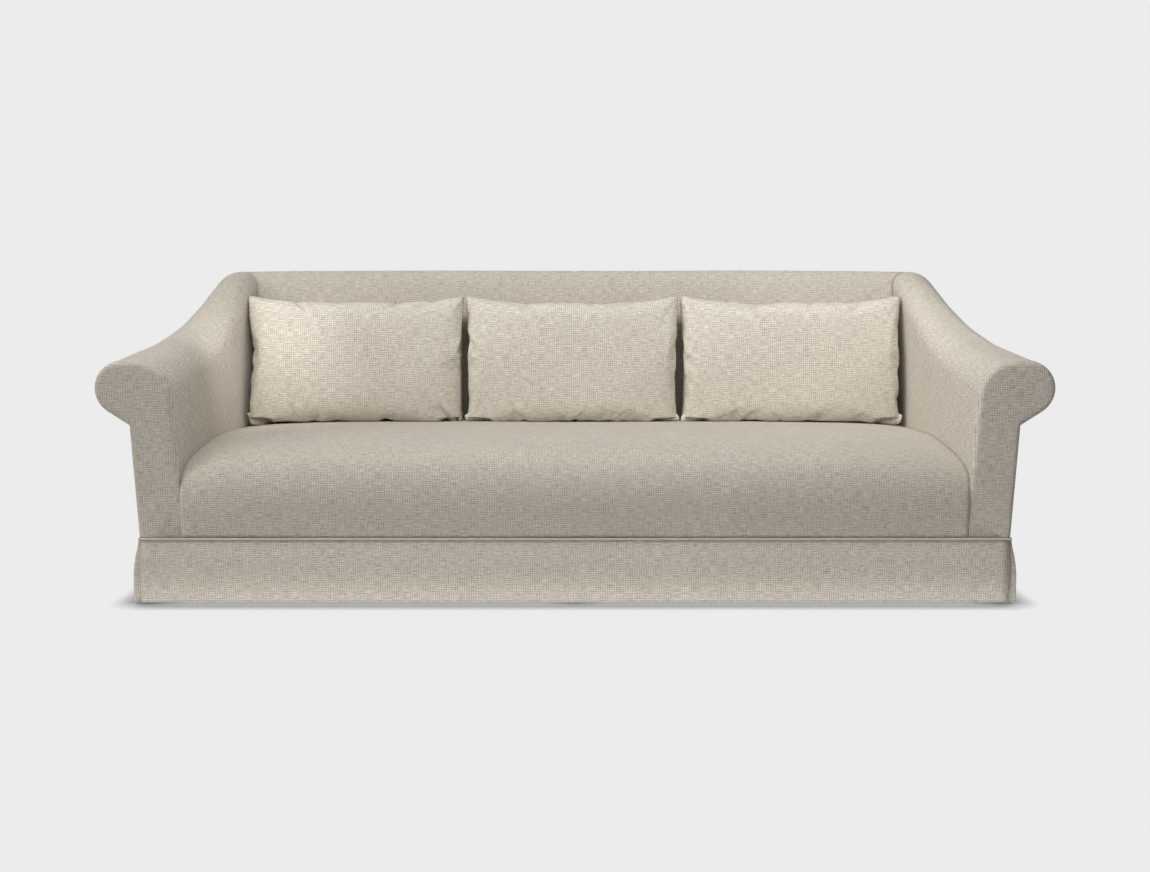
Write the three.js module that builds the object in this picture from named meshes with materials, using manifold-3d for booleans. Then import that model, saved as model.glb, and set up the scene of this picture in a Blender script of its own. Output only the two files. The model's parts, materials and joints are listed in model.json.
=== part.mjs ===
// A slope-arm sofa with one tight bench seat, a tight straight-topped back, three loose
// back pillows, a welt cord round the base and a tailored skirt split at its four corners.
// Millimetres, +Z up, the front facing -Y, the origin on the floor below the middle.
import * as THREE from 'three';
import * as BufferGeometryUtils from 'three/addons/utils/BufferGeometryUtils.js';
import Module from 'manifold-3d';

const wasm = await Module();
wasm.setup();

// Overall sizes
const overallWidth = 2439;
const overallDepth = 1000;
const overallHeight = 857;
const armHeight = 622;
const armBackDrop = 4;
const seatHeight = 409;
const baseHeight = 167;

// Fabric, padding and the gaps between neighbours
const coverThickness = 3;
const fitGap = 0.5;
const sideGap = 4;
const foamSideGap = 12;
const restGap = 0.3;
const armPadding = 16;

// Base
const weltDiameter = 6.5;
const weltStand = 2;
const weltCornerRadius = 5;
const skirtFlare = 21;
const skirtThickness = 2.5;
const skirtClearance = 7;
const skirtSlit = 4;

// Arms, seen from the front
const rollReach = 101.5;
const armBaseWidth = 110;
const neckFlare = 16;
const rollRadiusFront = 70;
const rollRadiusBack = 76;
const shoulderRadiusFront = 90;
const shoulderRadiusBack = 46;
const shoulderFrontOffset = 17;
const shoulderBackOffset = 17;
const rollBackOverhang = 2;
const facingThickness = 14;
const facingBevel = 8;

// Back
const backThickness = 140;
const backCrown = 8;
const backEndDrop = 4;
const backTuck = 15;

// Pillows
const pillowSideGap = 13;
const pillowHeight = 380;
const pillowThickness = 168;
const pillowRake = THREE.MathUtils.degToRad(8);
const pillowEdge = 5;
const pillowDrawIn = 13;
const pillowCoverThickness = 2.5;
const openingMargin = 113;
const openingGap = 1.6;
const openingCut = 30;

// Wooden frame
const boardThickness = 28;
const railHeight = 125;
const railLap = 17;
const centreRailDrop = 30;
const postWidth = 50;
const postGap = 3;
const blockLeg = 90;
const blockHeight = 60;
const footTopWidth = 62;
const footBottomWidth = 46;
const topRailDrop = 52;
const topRailWidth = 70;
const rearPostDrop = 83;
const armTuck = 10;
const armRailWidth = 46;
const armRailThickness = 30;
const armRailDrop = 16;

// Springs and webbing
const springWire = 4;
const springWidth = 46;
const springCount = 6;
const springBends = 12;
const springRise = 6;
const foamClearance = 6;
const webbingWidth = 55;
const webbingThickness = 2.5;
const dustCoverThickness = 2;
const dustCoverMargin = 12;

// Where the named sizes put the main planes
const bodyHalfDepth = overallDepth / 2 - skirtFlare - weltStand;
const bodyDepth = 2 * bodyHalfDepth;
const rollOuter = overallWidth / 2;
const armOuterBase = rollOuter - rollReach;
const armInnerBase = armOuterBase - armBaseWidth;
const armBackHeight = overallHeight - armBackDrop;
const shoulderInnerFront = armInnerBase + shoulderFrontOffset;
const shoulderInnerBack = armInnerBase - shoulderBackOffset;
const upholsteryBottom = baseHeight + weltDiameter / 2 + fitGap;
const railBottom = baseHeight - railLap;
const railTop = railBottom + railHeight;
const armLowEdge = railTop + armTuck;
const backLowEdge = railTop + backTuck;
const topRailHeight = overallHeight - topRailDrop;
const rearPostHeight = armBackHeight - rearPostDrop;
const springBottom = railTop + restGap;
const foamBottom = springBottom + springWire + springRise + foamClearance;
const frameFront = -bodyHalfDepth + facingThickness + fitGap;
const frameBack = bodyHalfDepth - coverThickness - fitGap;
const seatDepth = bodyDepth - backThickness - backCrown - fitGap;
const pillowCentreShares = { left: -0.661, centre: -0.009, right: 0.651 };
const pillowWidth = 2 * armInnerBase / Object.keys(pillowCentreShares).length - 2 * pillowSideGap;
const skirtTop = baseHeight - weltDiameter / 2 - restGap;

// Tables of shares, each chosen by hand.
// Arm: share of the body's depth, then share of the climb, of the roll's overhang and of its swell.
const slopeShares = [[0, 0], [0.13, 0.038], [0.34, 0.147], [0.5, 0.322], [0.67, 0.6], [0.82, 0.873],
  [0.92, 1], [0.965, 0.975], [1, 0.87]];
const overhangShares = [[0, 1], [0.16, 0.97], [0.37, 0.76], [0.58, 0.37], [0.79, 0.09], [0.94, 0.01], [1, 0]];
const tightenShares = [[0, 0], [0.5, 0.55], [1, 1]];
const stationShares = [0, 0.09, 0.2, 0.33, 0.46, 0.58, 0.7, 0.81, 0.88, 0.93, 0.965, 1];
// Seat: share of the seat's depth, then share of its height over the welt, in the middle and at an end.
const seatMiddleShares = [[0.001, 0], [-0.011, 0.17], [-0.016, 0.35], [-0.012, 0.52], [0.001, 0.67],
  [0.03, 0.8], [0.08, 0.905], [0.17, 0.968], [0.32, 0.997], [0.5, 1], [0.72, 0.988], [1, 0.955]];
const seatEndShares = [[0.001, 0], [-0.002, 0.17], [-0.004, 0.35], [-0.001, 0.48], [0.009, 0.59],
  [0.032, 0.67], [0.08, 0.745], [0.17, 0.82], [0.32, 0.88], [0.5, 0.925], [0.72, 0.91], [1, 0.87]];
const seatStationShares = [-1, -0.97, -0.92, -0.85, -0.72, -0.4, 0, 0.4, 0.72, 0.85, 0.92, 0.97, 1];
const seatEndPower = 8;
// Back: share of its thickness from the rear face, then share of its height over its low edge.
const backProfileShares = [[1, 0], [1, 0.2], [0.925, 0.42], [0.835, 0.64], [0.745, 0.81], [0.675, 0.9],
  [0.63, 0.94], [0.575, 0.968], [0.51, 0.988], [0.43, 1], [0.24, 0.992], [0.12, 0.972], [0.055, 0.95], [0.012, 0.925]];
const backStationShares = [-1, -0.93, -0.75, -0.4, 0, 0.4, 0.75, 0.93, 1];
// Skirt: share of the drop below the welt, then share of the flare.
const skirtShares = [[0, 0], [0.1, 0.16], [0.25, 0.52], [0.42, 0.8], [0.62, 0.95], [1, 1]];
// Pillow: how its fullness falls off towards the seams.
const pillowColumnShares = [-1, -0.93, -0.8, -0.6, -0.35, 0, 0.35, 0.6, 0.8, 0.93, 1];
const pillowRowShares = [-1, -0.9, -0.72, -0.45, 0, 0.45, 0.72, 0.9, 1];
const pillowFullnessPower = 0.62;

const linen = { color: 0xc9c1b4, roughness: 0.92, metalness: 0 };
const wadding = { color: 0xe8e2d2, roughness: 0.95, metalness: 0 };
const wood = { color: 0xb98d5c, roughness: 0.7, metalness: 0 };
const steel = { color: 0x8f9396, roughness: 0.4, metalness: 0.9 };
const webbing = { color: 0x3f3a34, roughness: 0.9, metalness: 0 };
const lining = { color: 0x2e2d2b, roughness: 0.95, metalness: 0 };
const darkWood = { color: 0x4a3526, roughness: 0.5, metalness: 0 };

const sofa = new THREE.Group();

function add(name, geometry, finish) {
  const mesh = new THREE.Mesh(geometry, new THREE.MeshStandardMaterial(finish));
  mesh.name = name;
  sofa.add(mesh);
  return mesh;
}

// A smooth, never overshooting curve through pairs of share and value.
function curve(pairs) {
  const slopes = pairs.slice(1).map((p, i) => (p[1] - pairs[i][1]) / (p[0] - pairs[i][0]));
  const tangents = pairs.map((p, i) => {
    const before = slopes[i - 1] ?? slopes[0];
    const after = slopes[i] ?? slopes[i - 1];
    return before * after > 0 ? 2 * before * after / (before + after) : 0;
  });
  return (at) => {
    const share = THREE.MathUtils.clamp(at, pairs[0][0], pairs.at(-1)[0]);
    const i = Math.min(pairs.findIndex((p, k) => k > 0 && share <= p[0]), pairs.length - 1) - 1;
    const span = pairs[i + 1][0] - pairs[i][0];
    const t = (share - pairs[i][0]) / span;
    const start = (1 + 2 * t) * (1 - t) ** 2 * pairs[i][1] + t * (1 - t) ** 2 * span * tangents[i];
    const end = t * t * (3 - 2 * t) * pairs[i + 1][1] + t * t * (t - 1) * span * tangents[i + 1];
    return start + end;
  };
}

const mix = (from, to, share) => from + (to - from) * share;
const climb = curve(slopeShares);
const overhang = curve(overhangShares);
const tighten = curve(tightenShares);

// A closed body from its corner points and triangles, turned so that its faces point out.
function body(points, triangles) {
  let volume = 0;
  for (const [a, b, c] of triangles) {
    volume += points[a].dot(points[b].clone().cross(points[c]));
  }
  const outward = volume > 0 ? triangles : triangles.map(([a, b, c]) => [a, c, b]);
  const geometry = new THREE.BufferGeometry().setFromPoints(points);
  geometry.setIndex(outward.flat());
  return geometry;
}

// A sheet with thickness: two grids of points with the same rows and columns, joined at the rim.
function sheet(outer, inner) {
  const rows = outer.length;
  const columns = outer[0].length;
  const points = [...outer.flat(), ...inner.flat()];
  const at = (side, row, column) => side * rows * columns + row * columns + column;
  const triangles = [];
  const face = (a, b, c, d) => triangles.push([a, b, c], [a, c, d]);
  for (let r = 0; r + 1 < rows; r += 1) {
    for (let c = 0; c + 1 < columns; c += 1) {
      face(at(0, r, c), at(0, r + 1, c), at(0, r + 1, c + 1), at(0, r, c + 1));
      face(at(1, r, c), at(1, r, c + 1), at(1, r + 1, c + 1), at(1, r + 1, c));
    }
  }
  for (let r = 0; r + 1 < rows; r += 1) {
    const last = columns - 1;
    face(at(0, r, 0), at(1, r, 0), at(1, r + 1, 0), at(0, r + 1, 0));
    face(at(0, r, last), at(0, r + 1, last), at(1, r + 1, last), at(1, r, last));
  }
  for (let c = 0; c + 1 < columns; c += 1) {
    const last = rows - 1;
    face(at(0, 0, c), at(0, 0, c + 1), at(1, 0, c + 1), at(1, 0, c));
    face(at(0, last, c), at(1, last, c), at(1, last, c + 1), at(0, last, c + 1));
  }
  return body(points, triangles);
}

// An outline of two-dimensional points moved a distance to the right of its own direction.
function inset(outline, distance) {
  return outline.map((point, i) => {
    const before = point.clone().sub(outline[i - 1] ?? point).normalize();
    const after = (outline[i + 1] ?? point).clone().sub(point).normalize();
    const along = before.clone().add(after).normalize();
    const straight = before.lengthSq() && after.lengthSq() ? along.dot(before) : 1;
    return new THREE.Vector2(along.y, -along.x).multiplyScalar(distance / straight).add(point);
  });
}

function board(name, size, centre, finish = wood) {
  const mesh = add(name, new THREE.BoxGeometry(...size), finish);
  mesh.position.set(...centre);
}

function manifold(geometry) {
  const bare = geometry.clone();
  bare.deleteAttribute('normal');
  bare.deleteAttribute('uv');
  const merged = BufferGeometryUtils.mergeVertices(bare);
  const vertProperties = new Float32Array(merged.attributes.position.array);
  const triVerts = new Uint32Array(merged.index.array);
  return new wasm.Manifold(new wasm.Mesh({ numProp: 3, vertProperties, triVerts }));
}

function geometryOf(solid) {
  const mesh = solid.getMesh();
  const geometry = new THREE.BufferGeometry();
  geometry.setAttribute('position', new THREE.BufferAttribute(mesh.vertProperties, mesh.numProp));
  geometry.setIndex(new THREE.BufferAttribute(mesh.triVerts, 1));
  return geometry;
}

// The right arm's sizes at a share of the body's depth.
function armSizes(share) {
  const top = mix(armHeight, armBackHeight, climb(share));
  const reach = mix(rollBackOverhang, rollOuter - armOuterBase - neckFlare, overhang(share));
  const neck = armOuterBase + neckFlare * overhang(share);
  const roll = mix(rollRadiusFront, rollRadiusBack, tighten(share));
  const shoulder = mix(shoulderRadiusFront, shoulderRadiusBack, tighten(share));
  const inner = mix(shoulderInnerFront, shoulderInnerBack, tighten(share));
  return { top, reach, neck, roll, shoulder, inner };
}

const underRollTurn = THREE.MathUtils.degToRad(57);
const fullOverhang = rollOuter - armOuterBase - neckFlare;
const innerLineShares = [0.35, 0.7, 1];
const shoulderSteps = 5;
const rollSteps = 8;
const cordSides = 8;
const footSides = 4;
const weltTurns = 4;

// The arm's outline at a share of the depth, from its inner face over the roll to the neck below it.
function armOutline(share, low) {
  const { top, reach, neck, roll, shoulder, inner } = armSizes(share);
  const springing = top - shoulder;
  const points = [new THREE.Vector2(armInner(share, low), low)];
  for (const t of innerLineShares) {
    const height = mix(low, springing, t);
    points.push(new THREE.Vector2(armInner(share, height), height));
  }
  for (let i = 1; i <= shoulderSteps; i += 1) {
    const angle = Math.PI * (1 - i / (2 * shoulderSteps));
    points.push(new THREE.Vector2(Math.cos(angle), Math.sin(angle)).multiplyScalar(shoulder)
      .add(new THREE.Vector2(inner + shoulder, springing)));
  }
  const centre = new THREE.Vector2(neck + reach - roll, top - roll);
  const turn = underRollTurn * Math.sqrt(reach / fullOverhang);
  for (let i = 0; i <= rollSteps; i += 1) {
    const angle = mix(Math.PI / 2, -turn, i / rollSteps);
    points.push(new THREE.Vector2(Math.cos(angle), Math.sin(angle)).multiplyScalar(roll).add(centre));
  }
  const run = (reach - roll * (1 - Math.cos(turn))) / Math.sin(turn);
  points.push(new THREE.Vector2(neck, centre.y - roll * Math.sin(turn) - run * Math.cos(turn)));
  return points;
}

// How far out the arm's inner face stands at a share of the depth and a height.
function armInner(share, height) {
  const { top, shoulder, inner } = armSizes(share);
  const springing = top - shoulder;
  if (height > springing) {
    const rise = Math.min(height - springing, shoulder);
    return inner + shoulder - Math.sqrt(shoulder ** 2 - rise ** 2);
  }
  const t = (height - upholsteryBottom) / (springing - upholsteryBottom);
  return mix(armInnerBase, inner, t * t);
}

const depthShare = (y) => THREE.MathUtils.clamp((y + bodyHalfDepth) / bodyDepth, 0, 1);
const depthAt = (share) => mix(-bodyHalfDepth, bodyHalfDepth, share);

const padDepth = coverThickness + armPadding + 2 * fitGap;
const postInner = armInnerBase + padDepth;
const railOuter = armOuterBase - coverThickness - fitGap;
const postFront = frameFront + boardThickness;
const postBack = frameBack - boardThickness;
const armStations = stationShares.map((share) => {
  return THREE.MathUtils.clamp(depthAt(share), frameFront, frameBack);
});

// A point list at one depth, for the arm on the side that the sign gives.
const across = (outline, y, sign) => outline.map((p) => new THREE.Vector3(sign * p.x, y, p.y));

function armBand(sign, depth, thickness, keepNeck) {
  const rows = (extra) => armStations.map((y) => {
    const outline = inset(armOutline(depthShare(y), armLowEdge), extra);
    return across(keepNeck ? outline : outline.slice(0, -1), y, sign);
  });
  return sheet(rows(depth), rows(depth + thickness));
}

// The arm's bands are cut away where the back's top rail passes to its post.
function notched(geometry) {
  const notchHeight = topRailWidth + 2 * fitGap;
  const tool = new THREE.BoxGeometry(2 * postInner, 2 * (frameBack - postBack), notchHeight);
  tool.translate(0, frameBack - fitGap, topRailHeight - topRailWidth / 2);
  return geometryOf(manifold(geometry).subtract(manifold(tool)));
}

function facingShape(sign, extra, low) {
  const outline = inset(armOutline(0, Math.max(low, upholsteryBottom)), extra);
  const outer = new THREE.Vector2(armOuterBase - Math.max(extra / 2, 0), low);
  const points = [...outline, outer];
  if (low < upholsteryBottom) points.unshift(new THREE.Vector2(armInnerBase + extra, low));
  return new THREE.Shape(points.map((p) => new THREE.Vector2(sign * p.x, p.y)));
}

// An extruded outline in the X and Z plane, from one depth back to another.
function upright(shape, front, back) {
  const geometry = new THREE.ExtrudeGeometry(shape, { depth: back - front, bevelEnabled: false });
  return geometry.rotateX(Math.PI / 2).translate(0, back, 0);
}

function addFacing(name, sign) {
  const geometry = new THREE.ExtrudeGeometry(facingShape(sign, 0, upholsteryBottom), {
    depth: 2 * (facingThickness - facingBevel),
    bevelThickness: facingBevel,
    bevelSize: facingBevel,
    bevelOffset: -facingBevel,
    bevelSegments: 3,
  });
  const plane = facingThickness - bodyHalfDepth;
  geometry.rotateX(Math.PI / 2).translate(0, plane + facingThickness - facingBevel, 0);
  const behind = new THREE.BoxGeometry(overallWidth, facingThickness * 2, overallHeight);
  behind.translate(0, plane + facingThickness, overallHeight / 2);
  add(name, geometryOf(manifold(geometry).subtract(manifold(behind))), linen);
}

function addArm(side, sign) {
  const foam = armBand(sign, coverThickness + fitGap, armPadding, false);
  const cover = armBand(sign, 0, coverThickness, true);
  add(`${side}_arm_foam`, notched(foam), wadding);
  add(`${side}_inside_arm_cover`, notched(cover), linen);
  addFacing(`${side}_arm_front_cover`, sign);
  const panel = (depth) => armStations.map((y) => {
    const neck = armOutline(depthShare(y), armLowEdge).at(-1);
    const low = new THREE.Vector2(armOuterBase, upholsteryBottom);
    const high = neck.clone().lerp(low, fitGap / (neck.y - low.y)).setX(neck.x);
    return across([low, high], y, sign).map((p) => p.setX(p.x - sign * depth));
  });
  add(`${side}_outside_arm_cover`, sheet(panel(0), panel(coverThickness)), linen);
  add(`${side}_front_post`, upright(facingShape(sign, padDepth + postGap, railBottom), frameFront, postFront),
    wood);
  const postTall = rearPostHeight - railTop - restGap;
  board(`${side}_rear_post`, [postWidth, boardThickness, postTall],
    [sign * (postInner + postWidth / 2), frameBack - boardThickness / 2, rearPostHeight - postTall / 2]);
  addArmRail(`${side}_arm_top_rail`, sign);
  const railLength = postBack - postFront - 2 * restGap;
  board(`${side}_side_rail`, [boardThickness, railLength, railHeight],
    [sign * (railOuter - boardThickness / 2), (postBack + postFront) / 2, railBottom + railHeight / 2]);
}

// The board inside the roll, from the scroll-shaped front post up to the rear post.
function addArmRail(name, sign) {
  const rows = (low) => armStations.map((station) => {
    const y = THREE.MathUtils.clamp(station, postFront + restGap, postBack - restGap);
    const { top, reach, neck, roll, shoulder, inner } = armSizes(depthShare(y));
    const middle = (inner + shoulder + neck + reach - roll) / 2;
    const height = top - padDepth - armRailDrop - low;
    const edges = [-armRailWidth / 2, armRailWidth / 2];
    return edges.map((edge) => new THREE.Vector3(sign * (middle + edge), y, height));
  });
  add(name, sheet(rows(0), rows(armRailThickness)), wood);
}

function addFrame() {
  const railMiddle = railBottom + railHeight / 2;
  const innerWidth = 2 * (postInner - restGap);
  board('front_rail', [innerWidth, boardThickness, railHeight],
    [0, frameFront + boardThickness / 2, railMiddle]);
  board('back_rail', [2 * railOuter, boardThickness, railHeight],
    [0, frameBack - boardThickness / 2, railMiddle]);
  const centreHeight = railHeight - centreRailDrop;
  board('centre_seat_rail', [boardThickness, postBack - postFront - 2 * restGap, centreHeight],
    [0, (postBack + postFront) / 2, railBottom + centreHeight / 2]);
  board('back_top_rail', [innerWidth, boardThickness, topRailWidth],
    [0, frameBack - boardThickness / 2, topRailHeight - topRailWidth / 2]);
  const uprightTop = topRailHeight - topRailWidth - restGap;
  const uprightHeight = uprightTop - railTop - restGap;
  board('back_centre_upright', [postWidth, boardThickness, uprightHeight],
    [0, frameBack - boardThickness / 2, uprightTop - uprightHeight / 2]);
}

function addCornerBlock(name, xSign, ySign) {
  const corner = new THREE.Vector2(
    xSign * (railOuter - boardThickness - restGap),
    ySign > 0 ? postBack - restGap : postFront + restGap,
  );
  const shape = new THREE.Shape([
    corner,
    corner.clone().add(new THREE.Vector2(-xSign * blockLeg, 0)),
    corner.clone().add(new THREE.Vector2(0, -ySign * blockLeg)),
  ]);
  const geometry = new THREE.ExtrudeGeometry(shape, { depth: blockHeight, bevelEnabled: false });
  add(name, geometry.translate(0, 0, railTop - blockHeight), wood);
}

function addFoot(name, xShare, ySign) {
  const height = railBottom - dustCoverThickness - 2 * restGap;
  const widths = [footTopWidth, footBottomWidth].map((width) => width / Math.SQRT2);
  const geometry = new THREE.CylinderGeometry(...widths, height, footSides).rotateY(Math.PI / footSides);
  const mesh = add(name, geometry.rotateX(Math.PI / 2), darkWood);
  const reach = railOuter - footTopWidth / 2;
  const frontPlace = frameFront + footTopWidth / 2;
  mesh.position.set(xShare * reach, ySign > 0 ? frameBack - footTopWidth / 2 : frontPlace, height / 2);
}

function addFeet() {
  const places = { left: -1, centre: 0, right: 1 };
  for (const [side, share] of Object.entries(places)) {
    addFoot(`front_${side}_foot`, share, -1);
    addFoot(`rear_${side}_foot`, share, 1);
  }
}

// One zigzag wire spring lying front to back on the rails.
function addSpring(name, x) {
  const start = frameFront + boardThickness / 2;
  const end = frameBack - boardThickness / 2;
  const points = [];
  const steps = 3 * springBends;
  for (let i = 0; i <= steps; i += 1) {
    const share = i / steps;
    const swing = springWidth / 2 * Math.sin(share * springBends * Math.PI);
    const height = springBottom + springWire / 2 + springRise * Math.sin(share * Math.PI);
    points.push(new THREE.Vector3(x + swing, mix(start, end, share), height));
  }
  const section = new THREE.Shape();
  section.absarc(0, 0, springWire / 2, 0, 2 * Math.PI);
  const path = new THREE.CatmullRomCurve3(points);
  const wire = { steps, extrudePath: path, curveSegments: 3, bevelEnabled: false };
  add(name, new THREE.ExtrudeGeometry(section, wire), steel);
}

function addSuspension() {
  const pitch = 2 * armInnerBase / springCount;
  for (let i = 0; i < springCount; i += 1) {
    addSpring(`seat_spring_${i + 1}`, pitch * (i + 1 / 2) - armInnerBase);
  }
  const face = postBack - restGap - webbingThickness / 2;
  const low = railBottom + railHeight / 2;
  const tall = topRailHeight - low;
  for (const [side, sign] of [['left', -1], ['right', 1]]) {
    board(`back_webbing_${side}`, [webbingWidth, webbingThickness, tall],
      [sign * pitch, face, low + tall / 2], webbing);
  }
}

const endFall = (s) => Math.abs(s) ** seatEndPower;

// The seat's profile in the Y and Z plane at a share of its half width.
function seatProfile(s) {
  const rise = seatHeight - upholsteryBottom;
  return seatMiddleShares.map((middle, i) => {
    const end = seatEndShares[i];
    const y = mix(middle[0], end[0], endFall(s)) * seatDepth - bodyHalfDepth;
    return new THREE.Vector2(y, upholsteryBottom + mix(middle[1], end[1], endFall(s)) * rise);
  });
}

// The back's profile at a share of its half width, from its low edge up and over to the rear.
function backProfile(s) {
  const height = overallHeight - backLowEdge;
  return backProfileShares.map(([depth, tall]) => {
    const crown = backCrown * (1 - s ** 4) * depth;
    const y = bodyHalfDepth - depth * backThickness - crown;
    return new THREE.Vector2(y, backLowEdge + tall * height - backEndDrop * s ** 4);
  });
}

// Rows of points between the arms, each profile point reaching to the arm's inner face.
function between(profile, stations, gap = sideGap) {
  return stations.map((s) => profile(s).map((p) => {
    const reach = armInner(depthShare(p.x), Math.max(p.y, upholsteryBottom)) - gap;
    return new THREE.Vector3(s * reach, p.x, p.y);
  }));
}

function addSeat() {
  const outer = between(seatProfile, seatStationShares);
  const inner = (depth, gap) => between((s) => inset(seatProfile(s), depth), seatStationShares, gap);
  add('seat_cover', sheet(outer, inner(coverThickness, sideGap)), linen);
  const front = frameFront - fitGap;
  const folded = seatMiddleShares.findIndex((p, i) => seatProfile(0)[i].y > foamBottom);
  const last = seatMiddleShares.length - 1;
  const under = (s) => seatProfile(s).map((p, i) => {
    if (i < folded) return new THREE.Vector2(front, mix(upholsteryBottom, foamBottom, i / folded));
    const share = (i - folded) / (last - folded);
    return new THREE.Vector2(mix(front, seatDepth - bodyHalfDepth - coverThickness, share), foamBottom);
  });
  const top = inner(coverThickness + fitGap, foamSideGap);
  add('seat_foam', sheet(top, between(under, seatStationShares, foamSideGap)), wadding);
}

function addBack() {
  const outer = between(backProfile, backStationShares);
  const inner = (depth, gap) => between((s) => inset(backProfile(s), depth), backStationShares, gap);
  add('inside_back_cover', sheet(outer, inner(coverThickness, sideGap)), linen);
  const face = postBack - restGap - webbingThickness - fitGap;
  const folded = backProfileShares.findIndex(([, tall]) => {
    return mix(backLowEdge, overallHeight, tall) > topRailHeight;
  });
  const last = backProfileShares.length - 1;
  const over = topRailHeight + fitGap;
  const under = (s) => backProfile(s).map((p, i) => {
    if (i < folded) return new THREE.Vector2(face, mix(backLowEdge, over, i / folded));
    const rear = frameBack - coverThickness - fitGap;
    return new THREE.Vector2(mix(face, rear, (i - folded) / (last - folded)), over);
  });
  const top = inner(coverThickness + fitGap, foamSideGap);
  add('back_foam', sheet(top, between(under, backStationShares, foamSideGap)), wadding);
}

// The panel down the rear, cut to the arms' outline at both ends.
function addOutsideBack() {
  const rear = armOutline(1, armLowEdge);
  const arch = rear.slice(-(rollSteps + 2)).reverse();
  const seam = backProfile(1).at(-1);
  const corner = new THREE.Vector2(armInner(1, seam.y), seam.y - 2 * fitGap);
  const half = [new THREE.Vector2(armOuterBase, upholsteryBottom), ...arch, corner];
  const mirrored = half.map((p) => new THREE.Vector2(-p.x, p.y)).reverse();
  add('outside_back_cover', upright(new THREE.Shape([...half, ...mirrored]), frameBack + fitGap, bodyHalfDepth),
    linen);
}

// A cord run round a closed flat path, as rings of points joined end to end.
function closedCord(path, radius, sides, height) {
  const points = [];
  const triangles = [];
  const count = path.length;
  for (let i = 0; i < count; i += 1) {
    const along = path[(i + 1) % count].clone().sub(path[(i + count - 1) % count]).normalize();
    const out = new THREE.Vector2(along.y, -along.x);
    for (let k = 0; k < sides; k += 1) {
      const angle = 2 * Math.PI * k / sides;
      const place = path[i].clone().addScaledVector(out, radius * Math.cos(angle));
      points.push(new THREE.Vector3(place.x, place.y, height + radius * Math.sin(angle)));
      const [a, b] = [i * sides + k, i * sides + (k + 1) % sides];
      const [c, d] = [((i + 1) % count) * sides + (k + 1) % sides, ((i + 1) % count) * sides + k];
      triangles.push([a, b, c], [a, c, d]);
    }
  }
  return body(points, triangles);
}

function addWelt() {
  const straightX = armOuterBase + weltStand - weltCornerRadius;
  const straightY = bodyHalfDepth + weltStand - weltCornerRadius;
  const corners = [[1, 1], [-1, 1], [-1, -1], [1, -1]];
  const path = corners.flatMap(([x, y], quarter) => {
    return Array.from({ length: weltTurns + 1 }, (_, i) => {
      const angle = Math.PI / 2 * (quarter + i / weltTurns);
      const round = new THREE.Vector2(Math.cos(angle), Math.sin(angle)).multiplyScalar(weltCornerRadius);
      return new THREE.Vector2(x * straightX, y * straightY).add(round);
    });
  });
  add('base_welt', closedCord(path, weltDiameter / 2, cordSides, baseHeight), linen);
}

// One hanging panel facing -Y, turned to its side of the base.
function addSkirt(name, halfLength, offset, turn) {
  const drop = skirtTop - skirtClearance;
  const rows = (depth) => [-1, 0, 1].map((s) => skirtShares.map(([fall, flare]) => {
    const y = depth - offset - flare * skirtFlare;
    return new THREE.Vector3(s * halfLength, y, skirtTop - fall * drop);
  }));
  const mesh = add(name, sheet(rows(0), rows(skirtThickness)), linen);
  mesh.rotation.z = turn;
}

function addSkirts() {
  const frontOffset = bodyHalfDepth + weltStand;
  const sideOffset = armOuterBase + weltStand;
  addSkirt('front_skirt', armOuterBase - weltStand, frontOffset, 0);
  addSkirt('right_skirt', bodyHalfDepth - skirtSlit, sideOffset, Math.PI / 2);
  addSkirt('back_skirt', armOuterBase - weltStand, frontOffset, Math.PI);
  addSkirt('left_skirt', bodyHalfDepth - skirtSlit, sideOffset, -Math.PI / 2);
}

// Where the seat's top and the back's face stand, so that a pillow can be laid against both.
function heightOn(profile, y) {
  const next = profile.findIndex((p, i) => i > 0 && p.x >= y && p.x > profile[i - 1].x);
  if (next < 0) return profile.at(-1).y;
  const [a, b] = [profile[next - 1], profile[next]];
  return mix(a.y, b.y, THREE.MathUtils.clamp((y - a.x) / (b.x - a.x), 0, 1));
}

function depthOn(profile, z) {
  const next = profile.findIndex((p, i) => i > 0 && p.y >= z);
  if (next < 0) return Infinity;
  const [a, b] = [profile[next - 1], profile[next]];
  return mix(a.x, b.x, THREE.MathUtils.clamp((z - a.y) / (b.y - a.y), 0, 1));
}

// One face of a pillow as a grid, with its sides drawn in between the corners and its middle full.
function pillowFace(centre, face, wall) {
  const halfWidth = pillowWidth / 2 - wall;
  const halfHeight = pillowHeight / 2 - wall;
  const drop = (x) => (seatHeight - upholsteryBottom) * endFall(x / armInnerBase);
  return pillowRowShares.map((v) => pillowColumnShares.map((u) => {
    const full = ((1 - u * u) * (1 - v * v)) ** pillowFullnessPower;
    const thick = mix(pillowEdge, pillowThickness / 2, full) - wall;
    const x = centre + u * (halfWidth - pillowDrawIn * (1 - v ** 4));
    const along = v * (halfHeight - pillowDrawIn * (1 - u ** 4)) + pillowHeight / 2;
    const sag = drop(x) * (seatMiddleShares.at(-1)[1] - seatEndShares.at(-1)[1]) * (1 - v) / 2;
    const y = along * Math.sin(pillowRake) + face * thick * Math.cos(pillowRake);
    const z = along * Math.cos(pillowRake) - face * thick * Math.sin(pillowRake) - sag;
    return new THREE.Vector3(x, y, z);
  }));
}

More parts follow.
